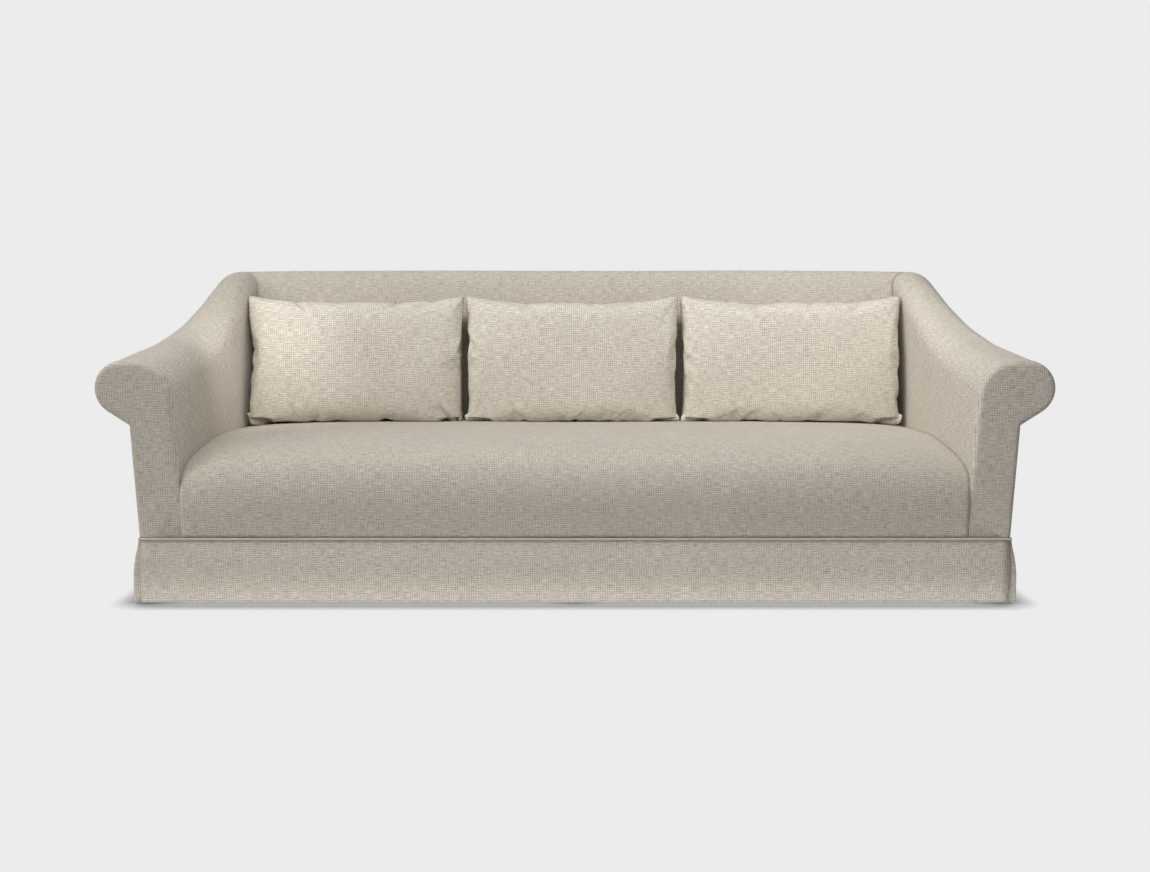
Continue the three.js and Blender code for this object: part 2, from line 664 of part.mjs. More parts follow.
// How far a pillow slides back and down until it rests on the seat and against the back.
function pillowRest(centre) {
  const points = [-1, 1].flatMap((face) => pillowFace(centre, face, 0).flat());
  const place = new THREE.Vector2(0, seatHeight);
  const settlings = 4;
  for (let i = 0; i < settlings; i += 1) {
    const back = Math.min(...points.map((p) => {
      return depthOn(backProfile(p.x / armInnerBase), p.z + place.y) - p.y;
    }));
    place.x = back - fitGap;
    const up = Math.max(...points.map((p) => {
      return heightOn(seatProfile(p.x / armInnerBase), p.y + place.x) - p.z;
    }));
    place.y = up + fitGap;
  }
  return place;
}

function addPillow(name, centre) {
  const rest = pillowRest(centre);
  const solid = (wall) => {
    const [front, back] = [-1, 1].map((face) => pillowFace(centre, face, wall));
    return sheet(front, back).translate(0, rest.x, rest.y);
  };
  const slit = new THREE.BoxGeometry(pillowWidth - 2 * openingMargin, openingGap, openingCut);
  slit.translate(centre, rest.x, rest.y + pillowDrawIn);
  const hollow = manifold(solid(0)).subtract(manifold(solid(pillowCoverThickness)));
  add(`${name}_cover`, geometryOf(hollow.subtract(manifold(slit))), linen);
  add(`${name}_insert`, solid(pillowCoverThickness + fitGap), wadding);
}

function addDustCover() {
  const size = [2 * (railOuter - dustCoverMargin), frameBack - frameFront - 2 * dustCoverMargin];
  board('dust_cover', [...size, dustCoverThickness],
    [0, (frameBack + frameFront) / 2, railBottom - restGap - dustCoverThickness / 2], lining);
}

addFrame();
for (const [xName, xSign] of [['left', -1], ['right', 1]]) {
  addArm(xName, xSign);
  addCornerBlock(`front_${xName}_corner_block`, xSign, -1);
  addCornerBlock(`rear_${xName}_corner_block`, xSign, 1);
}
addFeet();
addDustCover();
addSuspension();
addSeat();
addBack();
addOutsideBack();
addWelt();
addSkirts();
for (const [side, share] of Object.entries(pillowCentreShares)) {
  addPillow(`${side}_pillow`, share * armInnerBase);
}

export default sofa;
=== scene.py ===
"""A slope-arm sofa with a tight bench seat, three loose pillows and a tailored skirt.

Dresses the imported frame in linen: every upholstered solid gets a softer, finer piece.
Metres, +Z up, the front facing -Y.
"""
import json
import math

import bmesh
import bpy
from bpy.props import FloatProperty, FloatVectorProperty, PointerProperty
from mathutils import Matrix, Vector, noise


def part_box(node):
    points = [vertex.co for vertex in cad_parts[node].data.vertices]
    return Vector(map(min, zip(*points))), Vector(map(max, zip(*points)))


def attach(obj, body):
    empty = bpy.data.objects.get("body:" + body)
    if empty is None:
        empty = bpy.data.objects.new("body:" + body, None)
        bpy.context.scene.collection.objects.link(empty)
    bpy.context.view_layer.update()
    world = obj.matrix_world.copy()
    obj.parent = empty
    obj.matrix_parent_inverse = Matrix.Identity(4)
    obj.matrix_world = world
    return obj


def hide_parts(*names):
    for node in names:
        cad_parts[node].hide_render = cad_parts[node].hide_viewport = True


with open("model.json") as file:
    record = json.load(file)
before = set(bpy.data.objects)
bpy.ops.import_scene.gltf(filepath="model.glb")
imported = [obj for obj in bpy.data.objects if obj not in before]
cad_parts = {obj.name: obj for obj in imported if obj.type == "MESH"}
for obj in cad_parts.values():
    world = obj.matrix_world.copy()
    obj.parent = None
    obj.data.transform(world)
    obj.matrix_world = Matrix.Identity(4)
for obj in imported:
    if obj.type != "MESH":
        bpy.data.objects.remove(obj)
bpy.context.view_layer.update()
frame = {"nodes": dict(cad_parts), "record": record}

bl_info = {
    "name": "Slope-arm sofa",
    "version": (1, 0, 0),
    "blender": (4, 5, 0),
    "location": "3D View > Sidebar > Sofa",
    "description": "Dresses a packed sofa frame with linen upholstery, pillows and a skirt",
    "category": "Object",
}

SIDES = (("left", -1), ("right", 1))
PILLOWS = ("left", "centre", "right")
PILLOW_WIDTH_SHARES = (1.012, 1, 1.032)

# Tables of shares, close to the solids'. Arm: share of the depth, then of climb, overhang, tightening.
SLOPE_SHARES = ((0, 0), (0.13, 0.038), (0.34, 0.147), (0.5, 0.322), (0.67, 0.6), (0.82, 0.873),
                (0.92, 1), (0.965, 0.975), (1, 0.87))
OVERHANG_SHARES = ((0, 1), (0.16, 0.97), (0.37, 0.76), (0.58, 0.37), (0.79, 0.09), (0.94, 0.01), (1, 0))
TIGHTEN_SHARES = ((0, 0), (0.5, 0.55), (1, 1))
# Seat: share of its depth, then share of its height over the welt, in the middle and at an end.
SEAT_MIDDLE_SHARES = ((0.001, 0), (-0.010, 0.15), (-0.018, 0.33), (-0.0195, 0.47), (-0.014, 0.6),
                      (0.001, 0.73), (0.026, 0.83), (0.08, 0.92), (0.17, 0.972), (0.32, 0.997),
                      (0.5, 1), (1, 0.955))
SEAT_END_SHARES = ((0.001, 0), (-0.002, 0.15), (-0.004, 0.3), (-0.002, 0.42), (0.004, 0.53),
                   (0.018, 0.62), (0.04, 0.69), (0.09, 0.76), (0.17, 0.82), (0.32, 0.88),
                   (0.5, 0.925), (1, 0.87))
SEAT_END_POWER = 8
# Back: share of its thickness from the rear face, then share of its height over its low edge.
BACK_SHARES = ((1, 0), (1, 0.2), (0.925, 0.42), (0.835, 0.64), (0.745, 0.81), (0.675, 0.9),
               (0.63, 0.94), (0.575, 0.968), (0.51, 0.988), (0.43, 1), (0.24, 0.992),
               (0.12, 0.972), (0.055, 0.95), (0.012, 0.925))
# Skirt: share of the drop below the welt, then share of the flare.
SKIRT_SHARES = ((0, 0), (0.1, 0.16), (0.25, 0.52), (0.42, 0.8), (0.62, 0.95), (1, 1))

# How many rows or steps each surface is drawn with.
SEAT_STEPS = 96
CROWD_POWER = 3
ARM_PAD_STEPS = 80
ARM_PANEL_STEPS = 40
ARM_PANEL_ROWS = 12
SKIRT_STEPS = 24
CORD_SIDES = 16
ROLL_STEPS = 20
SHOULDER_STEPS = 12
INNER_STEPS = 9
MERGE = 1e-6

# Arms: how far the pieces stand off their seams, and where the front panel flattens beside the seat.
REAR_CLEAR = 0.0005
SEAM_TUCK = 0.0004
SEAM_REACH = 0.003
PANEL_ROUNDING = 0.013
PANEL_SKIN = 0.0001
FLAT_TOP = 0.37
FLAT_RUN = 0.1
UNDER_ROLL_TURN = math.radians(57)
# The outside back: the rounding of its rim, and how far out from the arm's inner face at the back its
# outline starts.
BACK_PANEL_ROUNDING = 0.0025
BACK_PANEL_INSET = 0.03

# Skirt: its rows, its ripple, how far its ends and its cloth hang in, and what the hem adds.
SKIRT_ROW = 0.02
RIPPLE = 0.0016
RIPPLE_SCALE = 3.2
RIPPLE_APART = 9.0
SIDE_DRAW_IN = 0.004
HANG_BACK = 0.0008
HEM_EXTRA = 0.0006
FOLD_STEPS = 5
LEAF_STEPS = 6

# Pillows: the flat case, how its seams draw in, its lean, the fold of its low corners, its filling.
CASE_HALF = 0.004
CASE_SEAM = 0.0005
CASE_WANDER = 0.0012
CASE_WANDER_SCALE = 18
CASE_TRIM_SHARE = 0.012
SEAM_BINS = 24
SIDE_DRAW_SHARES = (1.3, 0.6)
RAKE = math.radians(6)
FOLD_TURN = math.radians(92)
FOLD_START_SHARE = 0.72
FOLD_RUN_SHARE = 0.12
FOLD_RUN = 0.012
FOLD_PRESS_SHARE = 0.4
EAR_STRETCH_SHARE = 1.5
ROUNDING_LOSS_SHARE = 0.15
SEAT_WIDTH_LEVEL = 0.4
FILLING = {"quality": 6, "use_pressure": True, "uniform_pressure_force": 4, "tension_stiffness": 30,
           "compression_stiffness": 30, "shear_stiffness": 8, "bending_stiffness": 0.6, "mass": 0.3,
           "air_damping": 2}
FILLING_FRAMES = 25
CACHE_FRAMES = 40

# Feet and dust cover.
FOOT_TAPER_SHARE = 46 / 62
FOOT_EDGE = 0.003
LINING_SAG = 0.004
LINING_WALL = 0.0008

# Linen: the distance between threads, then each streak's scale, detail, strength and offset.
THREAD = 0.0029
THREAD_WOBBLE = 0.9
CELL_STRENGTH = 0.36
STREAKS = {"weft": ((42, 540, 1), 1, 1.7, -0.35),
           "warp": ((540, 46, 1), 1, 1.1, -0.55),
           "cloud": ((9, 9, 1), 3, 0.2, -0.1)}

# Camera, then each lamp's name, place, aim, size, power and spread, then the window, the plain
# light all round, and the floor with its painted shadow under the sofa.
CAMERA_PLACE = (0, -3.977, 0.82)
CAMERA_DIP = math.radians(6.32)
FOCAL_LENGTH = 43.4
LAMPS = (("overhead", (-0.3, -0.85, 2.1), (-0.3, -0.2, 0.4), (3.2, 0.5), 29, math.pi),
         ("inner_left", (-0.82, -0.3, 0.8), (-0.97, 0.2, 0.56), (0.12, 0.2), 0.25, 1.3),
         ("inner_right", (0.95, -0.25, 1.2), (0.7, 0.4, 0.8), (0.4, 0.2), 1.5, math.pi),
         ("hem", (0, -0.555, 0.012), (0, -0.5, 0.03), (2.3, 0.02), 0.24, math.pi),
         ("rear", (0.6, 3.0, 1.3), (0, 0.5, 0.35), (2.0, 1.0), 36, math.pi))
WINDOW_WAY = (1, 0.6, -0.35)
WINDOW_STRENGTH = 1.56
WINDOW_SOFTNESS = 1.0
AMBIENT = 0.135
PALE = 0.838
FLOOR_HALF = 40
SHADOWED = 0.14
SHADOW_REACH = 0.07
SHADOW_POWER = 2.6


def metres(name, default, description):
    return FloatProperty(name=name, description=description, default=default, min=0.0,
                         precision=4, unit="LENGTH")


def colour(name, default, description):
    return FloatVectorProperty(name=name, description=description, default=default,
                               subtype="COLOR", size=3, min=0.0, max=1.0)


class BodySizes(bpy.types.PropertyGroup):
    """Sizes that all the upholstery shares."""
    half_depth: metres("Half depth", 0.477, "Middle to the flat face of the arm fronts")
    low_edge: metres("Low edge", 0.17075, "Floor to the lower edge of the upholstery")
    tuck: metres("Tuck height", 0.285, "Floor to where the inner covers tuck in")
    wall: metres("Cover thickness", 0.003, "Thickness of a cover")
    unevenness: metres("Unevenness", 0.0012, "How far padding wanders from its true shape")


class ArmSizes(bpy.types.PropertyGroup):
    """Sizes of the sloping rolled arms."""
    height: metres("Front height", 0.622, "Floor to the top of the arm at the front")
    back_height: metres("Back height", 0.853, "Floor to the top of the arm at the back")
    inner_base: metres("Inner base", 1.008, "Middle to the inner foot of the arm")
    outer_base: metres("Outer base", 1.118, "Middle to the outer foot of the arm")
    neck_flare: metres("Neck flare", 0.016, "How far the arm leans out up to the roll")
    reach: metres("Roll reach", 0.0855, "How far the roll stands out past the neck")
    back_reach: metres("Back reach", 0.002, "The same at the back")
    roll_front: metres("Front roll radius", 0.07, "Radius of the roll at the front")
    roll_back: metres("Back roll radius", 0.076, "Radius of the roll at the back")
    shoulder_front: metres("Front shoulder radius", 0.09, "Radius on the inside at the front")
    shoulder_back: metres("Back shoulder radius", 0.046, "Radius on the inside at the back")
    inner_front: metres("Inner face, front", 1.025, "Middle to the inner face under the shoulder")
    inner_back: metres("Inner face, back", 0.991, "The same at the back")
    padding: metres("Padding", 0.018, "Thickness of the padded shell")
    facing: metres("Front panel depth", 0.014, "How far the front panel rounds over")


class SeatSizes(bpy.types.PropertyGroup):
    """Sizes of the tight seat and back."""
    height: metres("Seat height", 0.409, "Floor to the crown of the seat")
    depth: metres("Seat depth", 0.8055, "Front of the seat to the back")
    foam_low: metres("Foam underside", 0.2913, "Floor to the underside of the padding")
    lip: metres("Lip", 0.015, "Thickness of the padding in front of the front rail")
    back_height: metres("Back height", 0.857, "Floor to the top of the back")
    back_low: metres("Back low edge", 0.29, "Floor to the low edge of the back")
    back_thickness: metres("Back thickness", 0.14, "Thickness of the back at the seat")
    back_crown: metres("Back crown", 0.008, "How far the back swells in its middle")
    back_drop: metres("Back end drop", 0.004, "How far the top falls at its ends")
    rail_top: metres("Top rail", 0.8055, "Floor to the top of the rail in the back")
    rail_face: metres("Rail face", 0.4395, "Middle to the padding's rear face")
    gap: metres("Side gap", 0.0006, "Between the padding and the arms")


class PillowSizes(bpy.types.PropertyGroup):
    """Sizes of the loose pillows."""
    width: metres("Width", 0.658, "Corner to corner")
    height: metres("Height", 0.414, "Corner to corner, with the part that folds on the seat")
    thickness: metres("Thickness", 0.168, "At the middle")
    fullness: FloatProperty(name="Fullness", description="Under 1, fuller towards the seams",
                            default=0.52, min=0.2, max=1.5)
    low_fullness: FloatProperty(name="Low fullness", description="The same at the bottom",
                                default=0.25, min=0.2, max=1.5)
    side_draw: metres("Side draw", 0.013, "How far the side seams pull in between the corners")
    top_draw: metres("Top draw", 0.026, "How far the top seam sags between the corners")
    low_draw: metres("Low draw", 0.024, "The same at the bottom")
    round: metres("Corner rounding", 0.028, "Radius of the high corners")
    ear: metres("Ear", 0.032, "Length of a low corner that lies forward on the seat")
    cell: metres("Cell", 0.006, "Size of the cloth's squares while the pillow is filled")
    clear: metres("Clearance", 0.0008, "Between a pillow and what it rests on")


class BaseSizes(bpy.types.PropertyGroup):
    """Sizes of the welt and the skirt."""
    welt: metres("Welt", 0.0065, "Diameter of the cord")
    welt_height: metres("Welt height", 0.167, "Floor to the middle of the cord")
    welt_stand: metres("Welt stand", 0.002, "How far the cord's middle stands out")
    welt_corner: metres("Welt corner", 0.005, "Radius of the cord's corners")
    skirt_top: metres("Skirt top", 0.16345, "Floor to the top of the skirt")
    skirt_low: metres("Skirt hem", 0.007, "Floor to the hem")
    flare: metres("Flare", 0.021, "How far the front and back hems stand out")
    side_flare: metres("Side flare", 0.011, "How far the side hems stand out")
    cloth: metres("Cloth", 0.0022, "Thickness of the lined cloth")
    hem: metres("Hem", 0.03, "Height of the turned hem")
    slit: metres("Slit", 0.004, "Between a panel's end and the corner")
    fold: metres("Fold", 0.004, "Radius of a side panel's turn at the corner")
    leaf: metres("Leaf", 1.09, "Middle to the end of the turned part behind the front panel")
    stub: metres("Stub", 1.1155, "The same behind the back panel")
    notch: metres("Notch", 0.008, "How far the turned part's hem is cut up")


class Colours(bpy.types.PropertyGroup):
    """Colours of the finishes."""
    linen: colour("Linen", (0.530, 0.484, 0.413), "Body cloth")
    # Painted light: the body and the pillows are one linen, and the pillow colour is a lighter copy of the
    # body's, standing in for the brighter light on the pillows.
    pillow: colour("Pillow linen", (0.650, 0.597, 0.512), "Pillow cloth")
    shade: colour("Slub shade", (0.66, 0.64, 0.62), "How dark the dark threads are")
    wood: colour("Frame wood", (0.48, 0.28, 0.12), "Raw wood of the frame")
    foot: colour("Foot wood", (0.065, 0.036, 0.020), "Stained wood of the feet")
    lining: colour("Lining", (0.025, 0.024, 0.023), "Dust cover")
    steel: colour("Steel", (0.28, 0.29, 0.30), "Spring wire")
    strap: colour("Webbing", (0.14, 0.10, 0.06), "Back straps")
    floor: colour("Floor", (0.80, 0.80, 0.80), "Pale studio floor")


GROUPS = {"sofa_body": BodySizes, "sofa_arm": ArmSizes, "sofa_seat": SeatSizes,
          "sofa_pillow": PillowSizes, "sofa_base": BaseSizes, "sofa_colours": Colours}


# Curves and profiles

def curve(pairs):
    """A smooth curve through pairs of share and value that never overshoots."""
    slopes = [(b[1] - a[1]) / (b[0] - a[0]) for a, b in zip(pairs, pairs[1:])]
    tangents = []
    for i in range(len(pairs)):
        before = slopes[max(i - 1, 0)]
        after = slopes[min(i, len(slopes) - 1)]
        tangents.append(2 * before * after / (before + after) if before * after > 0 else 0)

    def at(share):
        share = min(max(share, pairs[0][0]), pairs[-1][0])
        i = next((k for k in range(1, len(pairs)) if share <= pairs[k][0]), len(pairs) - 1) - 1
        (x0, y0), (x1, y1) = pairs[i], pairs[i + 1]
        t = (share - x0) / (x1 - x0)
        start = (1 + 2 * t) * (1 - t) ** 2 * y0 + t * (1 - t) ** 2 * (x1 - x0) * tangents[i]
        end = t * t * (3 - 2 * t) * y1 + t * t * (t - 1) * (x1 - x0) * tangents[i + 1]
        return start + end
    return at


CLIMB = curve(SLOPE_SHARES)
OVERHANG = curve(OVERHANG_SHARES)
TIGHTEN = curve(TIGHTEN_SHARES)
SKIRT_FLARE = curve(SKIRT_SHARES)


def mix(start, end, share):
    return start + (end - start) * share


def held(share):
    """A share kept from 0 to 1."""
    return min(max(share, 0), 1)


def smooth_line(points, steps):
    """More points on a smooth curve through a few, and every given point with them."""
    line = []
    for i, (a, b) in enumerate(zip(points, points[1:])):
        before = points[i - 1] if i else a * 2 - b
        after = points[i + 2] if i + 2 < len(points) else b * 2 - a
        for k in range(steps):
            t = k / steps
            line.append(0.5 * (2 * a + (b - before) * t
                               + (2 * before - 5 * a + 4 * b - after) * t * t
                               + (3 * a - before - 3 * b + after) * t ** 3))
    return line + [points[-1]]


def depth_share(y):
    half = bpy.context.scene.sofa_body.half_depth
    return held((y + half) / (2 * half))


def arm_sizes(share):
    arm = bpy.context.scene.sofa_arm
    return {
        "top": mix(arm.height, arm.back_height, CLIMB(share)),
        "reach": mix(arm.back_reach, arm.reach, OVERHANG(share)),
        "neck": arm.outer_base + arm.neck_flare * OVERHANG(share),
        "roll": mix(arm.roll_front, arm.roll_back, TIGHTEN(share)),
        "shoulder": mix(arm.shoulder_front, arm.shoulder_back, TIGHTEN(share)),
        "inner": mix(arm.inner_front, arm.inner_back, TIGHTEN(share)),
    }


def arm_inner(share, height):
    """How far out the arm's inner face stands at a share of the depth and a height."""
    arm = bpy.context.scene.sofa_arm
    low = bpy.context.scene.sofa_body.low_edge
    size = arm_sizes(share)
    springing = size["top"] - size["shoulder"]
    if height > springing:
        rise = min(height - springing, size["shoulder"])
        return size["inner"] + size["shoulder"] - math.sqrt(size["shoulder"] ** 2 - rise ** 2)
    t = (max(height, low) - low) / (springing - low)
    return mix(arm.inner_base, size["inner"], t * t)


def arm_outline(share, low):
    """The arm's outline at one depth, as (x, z), from its inner face over the roll to the neck."""
    arm = bpy.context.scene.sofa_arm
    size = arm_sizes(share)
    springing = size["top"] - size["shoulder"]
    points = []
    for i in range(INNER_STEPS + 1):
        height = mix(low, springing, i / INNER_STEPS)
        points.append(Vector((arm_inner(share, height), height)))
    middle = Vector((size["inner"] + size["shoulder"], springing))
    for i in range(1, SHOULDER_STEPS + 1):
        angle = math.pi * (1 - i / SHOULDER_STEPS / 2)
        points.append(middle + size["shoulder"] * Vector((math.cos(angle), math.sin(angle))))
    centre = Vector((size["neck"] + size["reach"] - size["roll"], size["top"] - size["roll"]))
    points.append((points[-1] + Vector((centre.x, size["top"]))) / 2)
    turn = UNDER_ROLL_TURN * math.sqrt(size["reach"] / arm.reach)
    for i in range(ROLL_STEPS + 1):
        angle = mix(math.pi / 2, -turn, i / ROLL_STEPS)
        points.append(centre + size["roll"] * Vector((math.cos(angle), math.sin(angle))))
    run = (size["reach"] - size["roll"] * (1 - math.cos(turn))) / math.sin(turn)
    neck = Vector((size["neck"], centre.y - size["roll"] * math.sin(turn) - run * math.cos(turn)))
    for t in (1 / 3, 2 / 3, 1):
        points.append(points[-1].lerp(neck, 1 / (4 - 3 * t)) if t < 1 else neck)
    return points


def seat_profile(s):
    """The seat's surface at a share of its half width, as (y, z), from the welt up and back."""
    seat = bpy.context.scene.sofa_seat
    body = bpy.context.scene.sofa_body
    fall = abs(s) ** SEAT_END_POWER
    points = []
    for middle, end in zip(SEAT_MIDDLE_SHARES, SEAT_END_SHARES):
        depth = mix(middle[0], end[0], fall) * seat.depth - body.half_depth
        height = mix(middle[1], end[1], fall) * (seat.height - body.low_edge) + body.low_edge
        points.append(Vector((depth, height)))
    return points


def back_profile(s):
    """The back's surface at a share of its half width, as (y, z), up and over to the rear."""
    seat = bpy.context.scene.sofa_seat
    body = bpy.context.scene.sofa_body
    points = []
    for depth, tall in BACK_SHARES:
        crown = seat.back_crown * (1 - s ** 4) * depth
        height = mix(seat.back_low, seat.back_height, tall) - seat.back_drop * s ** 4
        points.append(Vector((body.half_depth - depth * seat.back_thickness - crown, height)))
    return points


# Meshes

def loft(rows, closed=False, capped=False):
    """Extrudes a row of points through the rows that follow, with cloth lengths kept on it."""
    bm = bmesh.new()
    layer = bm.verts.layers.float_vector.new("weave")
    line = [bm.verts.new(point) for point in rows[0]]
    edges = [bm.edges.new(pair) for pair in zip(line, line[1:])]
    if closed:
        edges.append(bm.edges.new((line[-1], line[0])))
    first = list(edges)
    along = 0
    mark(line, rows[0], along, layer)
    for before, row in zip(rows, rows[1:]):
        made = bmesh.ops.extrude_edge_only(bm, edges=edges)["geom"]
        fresh = {v for v in made if isinstance(v, bmesh.types.BMVert)}
        line = [next(e.other_vert(v) for e in v.link_edges if e.other_vert(v) in fresh) for v in line]
        for vert, point in zip(line, row):
            vert.co = point
        along += sum((b - a).length for a, b in zip(before, row)) / len(row)
        mark(line, row, along, layer)
        edges = [e for e in made if isinstance(e, bmesh.types.BMEdge) and set(e.verts) <= fresh]
    if capped:
        bmesh.ops.holes_fill(bm, edges=first + edges)
    return bm


def mark(line, row, along, layer):
    """Writes the cloth's own lengths, along and across, on a row of vertices."""
    across = 0
    for i, vert in enumerate(line):
        if i:
            across += (row[i] - row[i - 1]).length
        vert[layer] = Vector((along, across, 0))


def soften(bm, height, scale, seed):
    """Lets padding wander a little from its true shape."""
    bm.normal_update()
    for vert in bm.verts:
        vert.co += vert.normal * height * noise.noise(vert.co * scale + Vector((seed, seed, seed)))


def make(name, bm, material, body="sofa", replaced=(), flip=False):
    """A finished piece on its body, standing for the solids that it replaces."""
    if flip:
        bmesh.ops.reverse_faces(bm, faces=bm.faces)
    mesh = bpy.data.meshes.new(name)
    bm.to_mesh(mesh)
    bm.free()
    mesh.materials.append(bpy.data.materials[material])
    mesh.shade_smooth()
    piece = bpy.data.objects.new(name, mesh)
    bpy.context.scene.collection.objects.link(piece)
    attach(piece, body)
    if replaced:
        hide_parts(*replaced)
    return piece


def thicken(piece, thickness):
    wall = piece.modifiers.new("Wall", "SOLIDIFY")
    wall.thickness = thickness
    wall.offset = -1


def subdivide(piece, levels):
    smoother = piece.modifiers.new("Smooth", "SUBSURF")
    smoother.levels = levels
    smoother.render_levels = levels


# Materials

def node(tree, kind, inputs=None, **settings):
    """A shader node with its settings, and its inputs set or linked."""
    made = tree.nodes.new(kind)
    for key, value in settings.items():
        setattr(made, key, value)
    for key, value in (inputs or {}).items():
        if isinstance(value, bpy.types.NodeSocket):
            tree.links.new(value, made.inputs[key])
        else:
            made.inputs[key].default_value = value
    return made


def material(name):
    made = bpy.data.materials.new(name)
    made.use_nodes = True
    made.node_tree.nodes.clear()
    return made.node_tree


def surface(tree, shader):
    node(tree, "ShaderNodeOutputMaterial", {"Surface": shader.outputs[0]})


def coated(tree, base, roughness, **sockets):
    """The finish's one surface shader, with a colour, a roughness and whatever else it needs."""
    named = {key.replace("_", " "): value for key, value in sockets.items()}
    surface(tree, node(tree, "ShaderNodeBsdfPrincipled",
                       {"Base Color": base, "Roughness": roughness, **named}))


def maths(tree, operation, a, b=0.0, c=0.0):
    return node(tree, "ShaderNodeMath", {0: a, 1: b, 2: c}, operation=operation).outputs[0]


def relief(tree, height, strength, distance):
    made = node(tree, "ShaderNodeBump", {"Height": height, "Strength": strength, "Distance": distance})
    return made.outputs[0]


def tinted(tree, value, low, high):
    """A grey factor turned into a colour between two."""
    made = node(tree, "ShaderNodeMix", {"Factor": value, 6: (*low, 1), 7: (*high, 1)}, data_type="RGBA")
    return made.outputs[2]


def scaled(base, factor):
    """A colour made darker or lighter."""
    return [channel * factor for channel in base]


def streaks(tree, place, scale, detail, **sockets):
    """Noise at a scale of its own along each way of the material."""
    stretched = node(tree, "ShaderNodeMapping", {"Vector": place, "Scale": scale})
    return node(tree, "ShaderNodeTexNoise", {"Vector": stretched.outputs[0], "Scale": 1.0,
                                             "Detail": detail, **sockets}).outputs[0]


def waves(tree, place, axes, turns, wobble=0.0):
    """Even waves along two ways of the material, such as its threads."""
    parts = node(tree, "ShaderNodeSeparateXYZ", {0: place})
    return [maths(tree, "SINE", maths(tree, "MULTIPLY_ADD", parts.outputs[axis], turns, wobble))
            for axis in axes]


def linen_material(name, base, shade):
    """Plain woven linen with uneven threads, on the cloth's own lengths."""
    tree = material(name)
    weave = node(tree, "ShaderNodeAttribute", attribute_name="weave").outputs["Vector"]
    rough = {"Roughness": 0.6}
    wobble = maths(tree, "MULTIPLY", streaks(tree, weave, (30, 30, 1), 1, **rough), THREAD_WOBBLE)
    threads = waves(tree, weave, (0, 1), math.pi / THREAD, wobble)
    cells = maths(tree, "MULTIPLY", maths(tree, "ADD", *threads), 0.5)
    tone = maths(tree, "MULTIPLY", cells, CELL_STRENGTH)
    found = {}
    for kind, (scale, detail, strength, offset) in STREAKS.items():
        found[kind] = streaks(tree, weave, scale, detail, **rough)
        tone = maths(tree, "ADD", tone, maths(tree, "MULTIPLY_ADD", found[kind], strength, offset))
    clamped = node(tree, "ShaderNodeClamp", {0: tone}).outputs[0]
    dark = [b * s for b, s in zip(base, shade)]
    light = [min(1, b * 2 - d) for b, d in zip(base, dark)]
    height = maths(tree, "MULTIPLY_ADD", cells, 0.5, maths(tree, "MULTIPLY", found["weft"], 0.6))
    coated(tree, tinted(tree, clamped, dark, light), 0.88, Specular_IOR_Level=0.25, Sheen_Weight=0.12,
           Sheen_Roughness=0.5, Normal=relief(tree, height, 0.5, 0.0006))


def wood_material(name, base, roughness):
    """Straight grained wood on object coordinates."""
    tree = material(name)
    place = node(tree, "ShaderNodeTexCoord").outputs["Object"]
    fibres = streaks(tree, place, (6, 60, 60), 6)
    coated(tree, tinted(tree, fibres, scaled(base, 0.6), base), roughness,
           Normal=relief(tree, fibres, 0.2, 0.001))


def lining_material(name, base):
    """Thin spun lining, slightly mottled."""
    tree = material(name)
    place = node(tree, "ShaderNodeTexCoord").outputs["Object"]
    fibres = streaks(tree, place, (900, 900, 900), 2)
    coated(tree, tinted(tree, fibres, scaled(base, 0.7), scaled(base, 1.4)), 0.95,
           Normal=relief(tree, fibres, 0.3, 0.0004))


def steel_material(name, base):
    """Drawn spring wire with a thin film of oil."""
    tree = material(name)
    place = node(tree, "ShaderNodeTexCoord").outputs["Object"]
    mottle = streaks(tree, place, (220, 220, 220), 3)
    coated(tree, tinted(tree, mottle, scaled(base, 0.8), base),
           maths(tree, "MULTIPLY_ADD", mottle, 0.25, 0.25), Metallic=1.0)


def strap_material(name, base):
    """Jute strap with a coarse weave."""
    tree = material(name)
    place = node(tree, "ShaderNodeTexCoord").outputs["Object"]
    cells = maths(tree, "MULTIPLY", *waves(tree, place, (0, 2), 1600.0))
    tone = maths(tree, "MULTIPLY_ADD", cells, 0.5, 0.5)
    coated(tree, tinted(tree, tone, scaled(base, 0.6), base), 0.95, Normal=relief(tree, tone, 0.4, 0.0008))


# Operators

class SOFA_OT_finishes(bpy.types.Operator):
    """Make every material"""
    bl_idname = "sofa.finishes"
    bl_label = "Finishes"

    def execute(self, context):
        tint = context.scene.sofa_colours
        linen_material("woven_linen", tint.linen, tint.shade)
        # The pillows' linen is the body's linen with a lighter colour, painted light for the light on the
        # pillows.
        linen_material("woven_pillow_linen", tint.pillow, tint.shade)
        wood_material("sawn_wood", tint.wood, 0.7)
        wood_material("stained_wood", tint.foot, 0.4)
        lining_material("black_lining", tint.lining)
        steel_material("drawn_wire", tint.steel)
        strap_material("jute_strap", tint.strap)
        return {"FINISHED"}


class SOFA_OT_frame_boards(bpy.types.Operator):
    """Finish the wooden frame, the springs and the straps"""
    bl_idname = "sofa.frame_boards"
    bl_label = "Wooden frame"

    def execute(self, context):
        finishes = {"frame_wood": "sawn_wood", "spring_wire": "drawn_wire", "webbing": "jute_strap"}
        for part in frame["record"]["subparts"]:
            if part["material_slot"] in finishes:
                slots = frame["nodes"][part["node"]].material_slots
                slots[0].material = bpy.data.materials[finishes[part["material_slot"]]]
        return {"FINISHED"}


